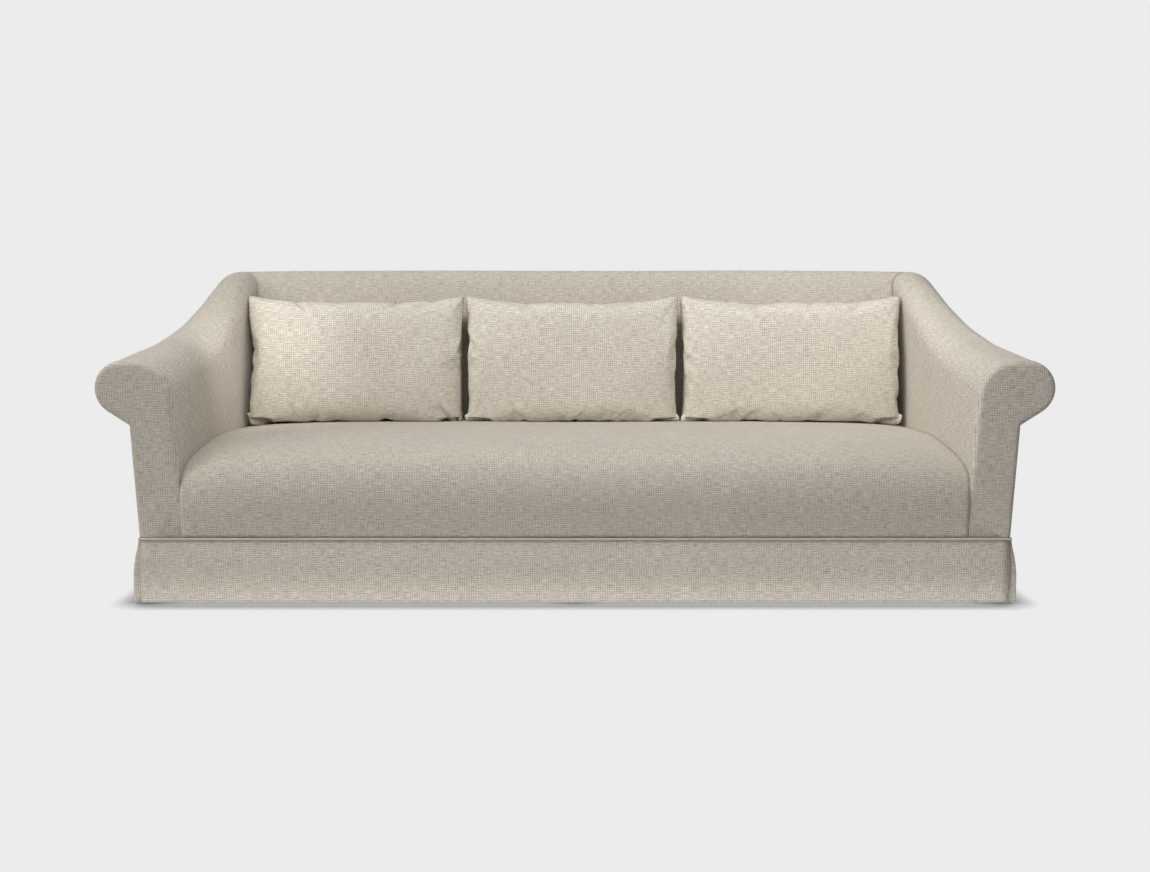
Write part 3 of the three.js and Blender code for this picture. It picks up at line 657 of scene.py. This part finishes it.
class SOFA_OT_seat(bpy.types.Operator):
    """Build the tight bench seat"""
    bl_idname = "sofa.seat"
    bl_label = "Bench seat"

    def execute(self, context):
        seat = context.scene.sofa_seat
        body = context.scene.sofa_body
        lip = seat.lip - body.half_depth
        bm = stuffed(seat_profile, 5, (lip, seat.foam_low), (lip, body.low_edge), 3.0)
        piece = make("bench_seat", bm, "woven_linen", replaced=("seat_cover", "seat_foam"))
        return {"FINISHED"}


class SOFA_OT_back(bpy.types.Operator):
    """Build the tight straight back"""
    bl_idname = "sofa.back"
    bl_label = "Tight back"

    def execute(self, context):
        seat = context.scene.sofa_seat
        bm = stuffed(back_profile, 4, (seat.rail_face, seat.rail_top), (seat.rail_face, seat.back_low), 8.0)
        piece = make("tight_back", bm, "woven_linen", replaced=("inside_back_cover", "back_foam"))
        return {"FINISHED"}


def stuffed(profile, steps, inner_high, inner_low, seed):
    """Padding that fills the width between the arms, with a step on the inside of its profile."""
    seat = bpy.context.scene.sofa_seat
    rows = []
    for s in crowded_ends(SEAT_STEPS):
        loop = smooth_line(profile(s), steps)
        loop += [Vector((loop[-1].x, inner_high[1])), Vector(inner_high), Vector(inner_low)]
        rows.append([Vector((s * (arm_inner(depth_share(p.x), p.y) - seat.gap), p.x, p.y)) for p in loop])
    bm = loft(rows, closed=True, capped=True)
    soften(bm, bpy.context.scene.sofa_body.unevenness, 4.0, seed)
    return bm


def crowded_ends(count):
    """Shares from -1 to 1 that crowd towards both ends."""
    shares = []
    for i in range(count + 1):
        even = 2 * i / count - 1
        crowded = math.copysign(1 - (1 - abs(even)) ** CROWD_POWER, even) if even else 0
        shares.append(mix(even, crowded, 0.5))
    return shares


class SOFA_OT_arms(bpy.types.Operator):
    """Build the rolled arms, with their front and outside panels"""
    bl_idname = "sofa.arms"
    bl_label = "Arms"

    def execute(self, context):
        for side, sign in SIDES:
            self.pad(context, side, sign)
            self.front(context, side, sign)
            self.outside(context, side, sign)
        return {"FINISHED"}

    def rows(self, sign, steps, outline):
        """Rows from the arm's front to its rear, each on the outline at its depth."""
        body = bpy.context.scene.sofa_body
        front = bpy.context.scene.sofa_arm.facing - body.half_depth
        rear = body.half_depth - body.wall - REAR_CLEAR
        depths = [mix(front, rear, i / steps) for i in range(steps + 1)]
        return [[Vector((sign * p.x, y, p.y)) for p in outline(y)] for y in depths]

    def pad(self, context, side, sign):
        body = context.scene.sofa_body
        arm = context.scene.sofa_arm

        def outline(y):
            tuck = SEAM_TUCK * math.exp(-((y + body.half_depth - arm.facing) / SEAM_REACH) ** 2)
            return shrink(arm_outline(depth_share(y), body.tuck), tuck)

        bm = loft(self.rows(sign, ARM_PAD_STEPS, outline))
        soften(bm, body.unevenness, 5.0, 11.0 + sign)
        piece = make(f"{side}_arm_pad", bm, "woven_linen", flip=sign > 0,
                     replaced=(f"{side}_inside_arm_cover", f"{side}_arm_foam"))
        thicken(piece, arm.padding)

    def front(self, context, side, sign):
        body = context.scene.sofa_body
        arm = context.scene.sofa_arm
        below = body.low_edge - 2 * arm.facing
        outline = [Vector((arm.inner_base, below))] + arm_outline(0, body.low_edge)
        outline.append(Vector((arm.outer_base, body.low_edge)))
        outline.append(Vector((arm.outer_base, below)))
        y = arm.facing - body.half_depth
        bm = panel([Vector((sign * p.x, y, p.y)) for p in outline], -arm.facing, PANEL_ROUNDING, 7)
        for vert in bm.verts:
            beside = sign * vert.co.x < arm.inner_base + arm.facing
            if beside and vert.co.y < y - PANEL_SKIN:
                flat = held((FLAT_TOP - vert.co.z) / FLAT_RUN)
                vert.co.y = mix(vert.co.y, -body.half_depth, flat * flat * (3 - 2 * flat))
        bmesh.ops.bisect_plane(bm, geom=bm.verts[:] + bm.edges[:] + bm.faces[:], clear_inner=True,
                               plane_co=(0, 0, body.low_edge), plane_no=(0, 0, 1))
        piece = make(f"{side}_arm_front", bm, "woven_linen", replaced=(f"{side}_arm_front_cover",))
        thicken(piece, body.wall)

    def outside(self, context, side, sign):
        body = context.scene.sofa_body
        arm = context.scene.sofa_arm

        def outline(y):
            neck = arm_outline(depth_share(y), body.tuck)[-1]
            low = Vector((arm.outer_base, body.low_edge))
            return [low.lerp(neck, k / ARM_PANEL_ROWS) for k in range(ARM_PANEL_ROWS + 1)]

        bm = loft(self.rows(sign, ARM_PANEL_STEPS, outline))
        piece = make(f"{side}_arm_outside", bm, "woven_linen", flip=sign < 0,
                     replaced=(f"{side}_outside_arm_cover",))
        thicken(piece, body.wall)


def shrink(outline, distance):
    """An outline moved a short way to the right of its own direction."""
    moved = []
    for i, point in enumerate(outline):
        along = outline[min(i + 1, len(outline) - 1)] - outline[max(i - 1, 0)]
        moved.append(point + distance * Vector((along.y, -along.x)).normalized())
    return moved


def panel(outline, depth, radius, steps):
    """A flat face with a rounded rim, standing the given depth in front of its outline."""
    bm = bmesh.new()
    layer = bm.verts.layers.float_vector.new("weave")
    face = bm.faces.new([bm.verts.new(point) for point in outline])
    face.normal_update()
    if face.normal.y * depth < 0:
        face.normal_flip()
        face.normal_update()
    straight = abs(depth) - radius
    rise = [(0, straight)] if straight > 0 else []
    for i in range(steps):
        a, b = (math.pi / 2 * k / steps for k in (i, i + 1))
        rise.append((radius * (math.cos(a) - math.cos(b)), radius * (math.sin(b) - math.sin(a))))
    for thickness, lift in rise:
        bmesh.ops.inset_region(bm, faces=[face], thickness=thickness, depth=lift,
                               use_even_offset=True, use_boundary=True)
    bmesh.ops.inset_region(bm, faces=[face], thickness=radius, depth=0, use_even_offset=True,
                           use_boundary=True)
    for vert in bm.verts:
        vert[layer] = Vector((vert.co.x, vert.co.z, 0))
    return bm


class SOFA_OT_outside_back(bpy.types.Operator):
    """Build the panel down the rear"""
    bl_idname = "sofa.outside_back"
    bl_label = "Outside back"

    def execute(self, context):
        body = context.scene.sofa_body
        arm = context.scene.sofa_arm
        rear = [p for p in arm_outline(1, body.tuck) if p.x > arm.inner_back + BACK_PANEL_INSET]
        seam = back_profile(1)[-1]
        corner = Vector((arm_inner(1, seam.y), seam.y - body.wall / 3))
        half = [corner] + rear + [Vector((arm.outer_base, body.low_edge))]
        outline = half + [Vector((-p.x, p.y)) for p in reversed(half)]
        y = body.half_depth - body.wall
        bm = panel([Vector((p.x, y, p.y)) for p in outline], body.wall, BACK_PANEL_ROUNDING, 4)
        piece = make("outside_back", bm, "woven_linen", replaced=("outside_back_cover",))
        thicken(piece, body.wall / 2)
        return {"FINISHED"}


class SOFA_OT_welt(bpy.types.Operator):
    """Build the welt cord round the base"""
    bl_idname = "sofa.welt"
    bl_label = "Base welt"

    def execute(self, context):
        base = context.scene.sofa_base
        arm = context.scene.sofa_arm
        body = context.scene.sofa_body
        half = Vector((arm.outer_base - base.welt_stand / 2, body.half_depth + base.welt_stand))
        route = rounded_rectangle(half, base.welt_corner, 8, 60)
        rows = []
        for i, middle in enumerate(route):
            ahead = route[(i + 1) % len(route)] - route[i - 1]
            out = Vector((ahead.y, -ahead.x)).normalized()
            row = []
            for k in range(CORD_SIDES):
                angle = 2 * math.pi * k / CORD_SIDES
                place = middle + out * (base.welt / 2 * math.cos(angle))
                row.append(Vector((*place, base.welt_height + base.welt / 2 * math.sin(angle))))
            rows.append(row)
        bm = loft(rows + [rows[0]], closed=True)
        bmesh.ops.remove_doubles(bm, verts=bm.verts, dist=MERGE)
        bmesh.ops.recalc_face_normals(bm, faces=bm.faces)
        make("welt_cord", bm, "woven_linen", replaced=("base_welt",))
        return {"FINISHED"}


def rounded_rectangle(half, radius, turns, run):
    """Points round a rectangle with rounded corners, with more along each side."""
    points = []
    corners = [Vector((x * (half.x - radius), y * (half.y - radius)))
               for x, y in ((1, 1), (-1, 1), (-1, -1), (1, -1))]
    for quarter, centre in enumerate(corners):
        for i in range(turns + 1):
            angle = math.pi / 2 * (quarter + i / turns)
            points.append(centre + radius * Vector((math.cos(angle), math.sin(angle))))
        end = corners[(quarter + 1) % 4] + points[-1] - centre
        start = points[-1]
        points.extend(start.lerp(end, k / run) for k in range(1, run))
    return points


class SOFA_OT_skirt(bpy.types.Operator):
    """Build the four hanging skirt panels"""
    bl_idname = "sofa.skirt"
    bl_label = "Skirt"

    def execute(self, context):
        base = context.scene.sofa_base
        arm = context.scene.sofa_arm
        body = context.scene.sofa_body
        long_half = arm.outer_base - base.welt_stand
        short_half = body.half_depth - base.slit
        front = body.half_depth + base.welt_stand
        side = arm.outer_base + base.welt_stand
        for quarter, name in enumerate(("front", "right", "back", "left")):
            half, offset = (short_half, side) if quarter % 2 else (long_half, front)
            self.hang(context, name, half, offset, quarter)
        return {"FINISHED"}

    def hang(self, context, name, half, offset, quarter):
        base = context.scene.sofa_base
        drop = base.skirt_top - base.skirt_low
        turned = {1: -1, 3: 1}.get(quarter, 0)
        rows = []
        for part, share, end in self.path(half, turned):
            outer, inner = [], []
            for k in range(SKIRT_STEPS + 1):
                fall = k / SKIRT_STEPS
                flare = SKIRT_FLARE(fall) * (base.side_flare if turned else base.flare)
                edge = half + (base.flare * SKIRT_FLARE(fall) if turned else -SIDE_DRAW_IN * fall)
                spot = Vector((end * half * RIPPLE_SCALE, quarter * RIPPLE_APART, fall / 2))
                wave = RIPPLE * fall ** 1.5 * noise.noise(spot)
                y = -offset - flare - wave + HANG_BACK * fall
                z = base.skirt_top - fall * drop
                if part == "side":
                    place, out = Vector((share * (edge - base.fold), y)), Vector((0, -1))
                elif part == "fold":
                    out = Vector((end * math.sin(share), -math.cos(share)))
                    place = Vector((end * (edge - base.fold), y + base.fold)) + base.fold * out
                else:
                    reach = base.leaf if end == turned else base.stub
                    place, out = Vector((end * edge, mix(y + base.fold, -reach, share))), Vector((end, 0))
                    z += fall * base.notch * min(share * 4, 1)
                thick = base.cloth + (HEM_EXTRA if z < base.skirt_low + base.hem else 0)
                within = place - out * thick
                outer.append(Vector((place.x, place.y, z)))
                inner.append(Vector((within.x, within.y, z)))
            rows.append(outer + inner[::-1])
        bm = loft(rows, closed=True, capped=True)
        bmesh.ops.rotate(bm, verts=bm.verts, matrix=Matrix.Rotation(quarter * math.pi / 2, 3, "Z"))
        bmesh.ops.recalc_face_normals(bm, faces=bm.faces)
        piece = make(f"{name}_skirt_panel", bm, "woven_linen", body=f"{name}_skirt",
                     replaced=(f"{name}_skirt",))

    def path(self, half, turned):
        """Where a panel's rows stand: along its side, and round its folds where it turns in."""
        count = round(half / SKIRT_ROW) * 2
        shares = [mix(-1, 1, i / count) for i in range(count + 1)]
        line = [("side", share, share) for share in shares]
        if not turned:
            return line
        ends = []
        for end in (-1, 1):
            fold = [("fold", math.pi / 2 * (i + 1) / FOLD_STEPS, end) for i in range(FOLD_STEPS)]
            leaf = [("leaf", (i + 1) / LEAF_STEPS, end) for i in range(LEAF_STEPS)]
            ends.append(fold + leaf)
        return ends[0][::-1] + line + ends[1]


class SOFA_OT_pillows(bpy.types.Operator):
    """Build the three loose pillows: sewn flat, filled, then sat on the seat"""
    bl_idname = "sofa.pillows"
    bl_label = "Pillows"

    def execute(self, context):
        size = context.scene.sofa_pillow
        for i, name in enumerate(PILLOWS):
            width = size.width * PILLOW_WIDTH_SHARES[i]
            case = self.sew(size, width, 7.0 * i + 1)
            self.fill(case)
            self.settle(case, size, width)
            bm = bmesh.new()
            bm.from_mesh(case)
            bpy.data.meshes.remove(case)
            self.place(bm, name, size, width)
            # The pillow linen is painted lighter than the body's, for the light on the pillows.
            piece = make(f"{name}_pillow_pad", bm, "woven_pillow_linen",
                         body=f"{name}_pillow",
                         replaced=(f"{name}_pillow_cover", f"{name}_pillow_insert"))
            subdivide(piece, 1)
        return {"FINISHED"}

    def sew(self, size, width, seed):
        """Two layers of cloth joined round their rim, flat for the filling."""
        bm = bmesh.new()
        columns, rows = (round(side / size.cell) for side in (width, size.height))
        bmesh.ops.create_grid(bm, x_segments=columns, y_segments=rows, size=0.5)
        layer = bm.verts.layers.float_vector.new("weave")
        copied = bmesh.ops.duplicate(bm, geom=bm.faces[:])["geom"]
        rear = {v for v in copied if isinstance(v, bmesh.types.BMVert)}
        half = CASE_HALF
        power = 1
        for vert in bm.verts:
            u, v = 2 * vert.co.x, 2 * vert.co.y
            corner = 1 - CASE_TRIM_SHARE * abs(u * v) ** 16
            x, z = u * corner * width / 2, v * corner * size.height / 2
            full = max((1 - u * u) * (1 - v * v), 0) ** power
            y = (half * full + CASE_SEAM) * (1 if vert in rear else -1)
            spot = Vector((x * CASE_WANDER_SCALE + seed, z * CASE_WANDER_SCALE, y))
            wander = CASE_WANDER * noise.noise(spot)
            vert[layer] = Vector((x, z, 0))
            vert.co = Vector((x, 0 if max(abs(u), abs(v)) > 0.999 else y + wander, z))
        bmesh.ops.remove_doubles(bm, verts=bm.verts, dist=MERGE)
        bmesh.ops.recalc_face_normals(bm, faces=bm.faces)
        case = bpy.data.meshes.new("case")
        bm.to_mesh(case)
        bm.free()
        return case

    def fill(self, case):
        """Blows the flat case up with the pressure of its filling."""
        scene = bpy.context.scene
        puppet = bpy.data.objects.new("case", case.copy())
        scene.collection.objects.link(puppet)
        cloth = puppet.modifiers.new("Cloth", "CLOTH")
        cloth.point_cache.frame_start = 1
        cloth.point_cache.frame_end = CACHE_FRAMES
        cloth.collision_settings.use_collision = False
        cloth.settings.effector_weights.gravity = 0
        for key, value in FILLING.items():
            setattr(cloth.settings, key, value)
        for step in range(1, FILLING_FRAMES + 1):
            scene.frame_set(step)
        filled = puppet.evaluated_get(bpy.context.evaluated_depsgraph_get()).data
        for vert, found in zip(case.vertices, filled.vertices):
            vert.co = found.co
        bpy.data.objects.remove(puppet)
        scene.frame_set(1)

    def settle(self, case, size, width):
        """Brings the filled case to its size between the seams, and keeps every pucker."""
        layer = case.attributes["weave"].data
        half_width, half_height = width / 2, size.height / 2
        heights = [layer[v.index].vector.y / half_height for v in case.vertices]
        sides = [layer[v.index].vector.x / half_width for v in case.vertices]
        side_draws = [size.side_draw * (1 - abs(up) ** 3) * mix(*SIDE_DRAW_SHARES, (up + 1) / 2)
                      for up in heights]
        high_draws = [size.top_draw * (1 - abs(out) ** 3) for out in sides]
        low_draws = [size.low_draw * (1 - abs(out) ** 3) for out in sides]
        self.draw_in(case, 0, half_width, heights, side_draws, side_draws)
        self.draw_in(case, 2, half_height, sides, low_draws, high_draws)
        self.round_corners(case, size, half_width - size.round, half_height - size.round)
        thick = max(abs(v.co.y) for v in case.vertices)
        for vert in case.vertices:
            low = held(-layer[vert.index].vector.y / half_height)
            full = (abs(vert.co.y) / thick) ** mix(size.fullness, size.low_fullness, low * low)
            vert.co.y = math.copysign(full * size.thickness / 2, vert.co.y)

    def draw_in(self, case, axis, half, across, low_draws, high_draws):
        """Moves two facing seams to their curve, and the cloth between them in proportion."""
        places = [(share + 1) / 2 * SEAM_BINS for share in across]
        reach = {}
        for vert, place in zip(case.vertices, places):
            key = vert.co[axis] > 0, min(int(place), SEAM_BINS - 1)
            reach[key] = max(reach.get(key, 0), abs(vert.co[axis]))
        for vert, place, low, high in zip(case.vertices, places, low_draws, high_draws):
            beyond = vert.co[axis] > 0
            first = min(max(int(place - 0.5), 0), SEAM_BINS - 2)
            found = mix(reach[beyond, first], reach[beyond, first + 1], held(place - 0.5 - first))
            vert.co[axis] *= (half - (high if beyond else low)) / found

    def round_corners(self, case, size, aside_from, above_from):
        """Turns the two high corners from square to round."""
        for vert in case.vertices:
            aside = (abs(vert.co.x) - aside_from) / size.round
            above = (vert.co.z - above_from) / size.round
            if aside > 0 and above > 0:
                reached = aside_from + size.round * aside * math.sqrt(1 - above * above / 2)
                vert.co.x = math.copysign(reached, vert.co.x)
                vert.co.z = above_from + size.round * above * math.sqrt(1 - aside * aside / 2)

    def place(self, bm, name, size, width):
        """Folds the low corners forward, leans the pillow and lets seat, back and arm flatten it."""
        low, high = (Vector(corner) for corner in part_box(f"{name}_pillow_cover"))
        layer = bm.verts.layers.float_vector["weave"]
        crease = size.ear - size.height / 2
        for vert in bm.verts:
            below = crease - vert.co.z
            corner = held((abs(vert[layer].x) / width * 2 - FOLD_START_SHARE) / FOLD_RUN_SHARE)
            if below > 0 and corner > 0:
                folded = min(below / FOLD_RUN, 1) * corner
                turn = FOLD_TURN * folded
                across = vert.co.y * mix(1, FOLD_PRESS_SHARE, folded)
                out = below * EAR_STRETCH_SHARE
                vert.co.y = across * math.cos(turn) - out * math.sin(turn)
                vert.co.z = crease - across * math.sin(turn) - out * math.cos(turn)
        bmesh.ops.rotate(bm, verts=bm.verts, matrix=Matrix.Rotation(-RAKE, 3, "X"))
        top = high.z + size.round * ROUNDING_LOSS_SHARE - size.height / 2 * math.cos(RAKE)
        bmesh.ops.translate(bm, verts=bm.verts, vec=((low.x + high.x) / 2, (low.y + high.y) / 2, top))
        for vert in bm.verts:
            vert.co.z = max(vert.co.z, seat_height(vert.co.x, vert.co.y) + size.clear)
            vert.co.y = min(vert.co.y, back_face(vert.co.z) - size.clear)
            wall = arm_inner(depth_share(vert.co.y), vert.co.z) - size.clear
            vert.co.x = min(max(vert.co.x, -wall), wall)


def level(points, place, across, up):
    """The value at a place along a line of points, between its nearest two."""
    for a, b in zip(points, points[1:]):
        if min(a[across], b[across]) <= place <= max(a[across], b[across]):
            return mix(a[up], b[up], (place - a[across]) / (b[across] - a[across]))
    return points[-1][up]


def seat_height(x, y):
    """The seat's top, from the part of its profile past its foremost point."""
    return level(seat_profile(x / arm_inner(depth_share(y), SEAT_WIDTH_LEVEL))[4:], y, 0, 1)


def back_face(z):
    """The back's front face, from the part of its profile up to its highest point."""
    return level(back_profile(0)[:10], z, 1, 0)


class SOFA_OT_feet(bpy.types.Operator):
    """Build the tapered feet and the dust cover"""
    bl_idname = "sofa.feet"
    bl_label = "Feet and dust cover"

    def execute(self, context):
        for part in frame["record"]["subparts"]:
            if part["material_slot"] == "foot_wood":
                self.foot(part["node"])
        self.dust_cover()
        return {"FINISHED"}

    def foot(self, name):
        low, high = (Vector(corner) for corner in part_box(name))
        bm = bmesh.new()
        half = (high.x - low.x) / 2
        corner = half * math.sqrt(2)
        bmesh.ops.create_cone(bm, cap_ends=True, segments=4, radius1=corner * FOOT_TAPER_SHARE,
                              radius2=corner, depth=high.z - low.z)
        bmesh.ops.rotate(bm, verts=bm.verts, matrix=Matrix.Rotation(math.pi / 4, 3, "Z"))
        bmesh.ops.translate(bm, verts=bm.verts, vec=(low + high) / 2)
        bmesh.ops.bevel(bm, geom=bm.edges[:], offset=FOOT_EDGE, segments=3, profile=0.5,
                        affect="EDGES", material=-1)
        make(f"{name}_block", bm, "stained_wood", replaced=(name,))

    def dust_cover(self):
        low, high = (Vector(corner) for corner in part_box("dust_cover"))
        bm = bmesh.new()
        bmesh.ops.create_grid(bm, x_segments=60, y_segments=30, size=0.5)
        for vert in bm.verts:
            u, v = 2 * vert.co.x, 2 * vert.co.y
            sag = LINING_SAG * (1 - u * u) * (1 - v * v)
            vert.co = Vector((u * (high.x - low.x) / 2, (low.y + high.y) / 2 + v * (high.y - low.y) / 2,
                              high.z - sag))
        piece = make("dust_cloth", bm, "black_lining", replaced=("dust_cover",))
        thicken(piece, LINING_WALL)


class SOFA_OT_stage(bpy.types.Operator):
    """Set up the floor, the light and the camera"""
    bl_idname = "sofa.stage"
    bl_label = "Stage"

    def execute(self, context):
        scene = context.scene
        self.camera(scene)
        self.floor(scene)
        self.lights(scene)
        scene.view_settings.view_transform = "Standard"
        return {"FINISHED"}

    def camera(self, scene):
        lens = bpy.data.cameras.new("camera")
        lens.lens = FOCAL_LENGTH
        lens.sensor_width = 36
        lens.clip_end = 50
        camera = bpy.data.objects.new("camera", lens)
        camera.location = CAMERA_PLACE
        camera.rotation_euler = (math.pi / 2 - CAMERA_DIP, 0, 0)
        scene.collection.objects.link(camera)
        scene.camera = camera

    def floor(self, scene):
        bm = bmesh.new()
        bmesh.ops.create_grid(bm, x_segments=1, y_segments=1, size=FLOOR_HALF)
        mesh = bpy.data.meshes.new("floor")
        bm.to_mesh(mesh)
        bm.free()
        floor = bpy.data.objects.new("floor", mesh)
        scene.collection.objects.link(floor)
        tree = material("pale_floor")
        # Seen by the camera, the floor glows its pale colour with a painted shadow, darker where occlusion
        # shuts it in beside the sofa; other rays meet a plain diffuse floor.
        ray = node(tree, "ShaderNodeLightPath")
        shut = node(tree, "ShaderNodeAmbientOcclusion", {"Distance": SHADOW_REACH}, samples=16)
        openness = maths(tree, "POWER", shut.outputs["AO"], SHADOW_POWER)
        pale = tinted(tree, openness, [SHADOWED] * 3, [PALE] * 3)
        seen = node(tree, "ShaderNodeEmission", {"Color": pale, "Strength": 1.0})
        lit = node(tree, "ShaderNodeBsdfDiffuse", {"Color": (*scene.sofa_colours.floor, 1)})
        shader = node(tree, "ShaderNodeMixShader", {0: ray.outputs["Is Camera Ray"], 1: lit.outputs[0],
                                                    2: seen.outputs[0]})
        surface(tree, shader)
        mesh.materials.append(bpy.data.materials["pale_floor"])

    def lights(self, scene):
        world = bpy.data.worlds.new("studio")
        scene.world = world
        world.use_nodes = True
        tree = world.node_tree
        tree.nodes.clear()
        ray = node(tree, "ShaderNodeLightPath")
        seen = maths(tree, "MAXIMUM", ray.outputs["Is Glossy Ray"], ray.outputs["Is Transmission Ray"])
        plain = maths(tree, "MAXIMUM", ray.outputs["Is Camera Ray"], seen)
        strength = maths(tree, "MULTIPLY_ADD", plain, PALE - AMBIENT, AMBIENT)
        sky = node(tree, "ShaderNodeBackground", {"Color": (1, 1, 1, 1), "Strength": strength})
        node(tree, "ShaderNodeOutputWorld", {"Surface": sky.outputs[0]})
        for lamp in LAMPS:
            softbox(scene, *lamp)
        sun = bpy.data.lights.new("window", "SUN")
        sun.energy = WINDOW_STRENGTH
        sun.angle = WINDOW_SOFTNESS
        window = bpy.data.objects.new("window", sun)
        window.location = Vector(WINDOW_WAY) * -3
        window.rotation_euler = Vector(WINDOW_WAY).to_track_quat("-Z", "Y").to_euler()
        scene.collection.objects.link(window)


def softbox(scene, name, place, target, size, power, spread):
    lamp = bpy.data.lights.new(name, "AREA")
    lamp.shape = "RECTANGLE"
    lamp.size, lamp.size_y = size
    lamp.energy = power
    lamp.spread = spread
    light = bpy.data.objects.new(name, lamp)
    light.location = place
    light.rotation_euler = (Vector(target) - Vector(place)).to_track_quat("-Z", "Y").to_euler()
    light.visible_camera = False
    scene.collection.objects.link(light)


OPERATORS = (SOFA_OT_finishes, SOFA_OT_frame_boards, SOFA_OT_feet, SOFA_OT_seat, SOFA_OT_back,
             SOFA_OT_arms, SOFA_OT_outside_back, SOFA_OT_welt, SOFA_OT_skirt, SOFA_OT_pillows,
             SOFA_OT_stage)


class SOFA_PT_panel(bpy.types.Panel):
    """Lists the sofa's pieces and their sizes"""
    bl_idname = "SOFA_PT_panel"
    bl_label = "Slope-arm sofa"
    bl_space_type = "VIEW_3D"
    bl_region_type = "UI"
    bl_category = "Sofa"

    def draw(self, context):
        for name, group in GROUPS.items():
            box = self.layout.box()
            for key in group.__annotations__:
                box.prop(getattr(context.scene, name), key)
        for operator in OPERATORS:
            self.layout.operator(operator.bl_idname)


def register():
    for group in GROUPS.values():
        bpy.utils.register_class(group)
    for name, group in GROUPS.items():
        setattr(bpy.types.Scene, name, PointerProperty(type=group))
    for made in (*OPERATORS, SOFA_PT_panel):
        bpy.utils.register_class(made)


def unregister():
    for made in (SOFA_PT_panel, *reversed(OPERATORS)):
        bpy.utils.unregister_class(made)
    for name in GROUPS:
        delattr(bpy.types.Scene, name)
    for group in GROUPS.values():
        bpy.utils.unregister_class(group)


def main():
    register()
    bpy.ops.sofa.finishes()
    bpy.ops.sofa.frame_boards()
    bpy.ops.sofa.feet()
    bpy.ops.sofa.seat()
    bpy.ops.sofa.back()
    bpy.ops.sofa.arms()
    bpy.ops.sofa.outside_back()
    bpy.ops.sofa.welt()
    bpy.ops.sofa.skirt()
    bpy.ops.sofa.pillows()
    bpy.ops.sofa.stage()


if __name__ == "__main__":
    main()
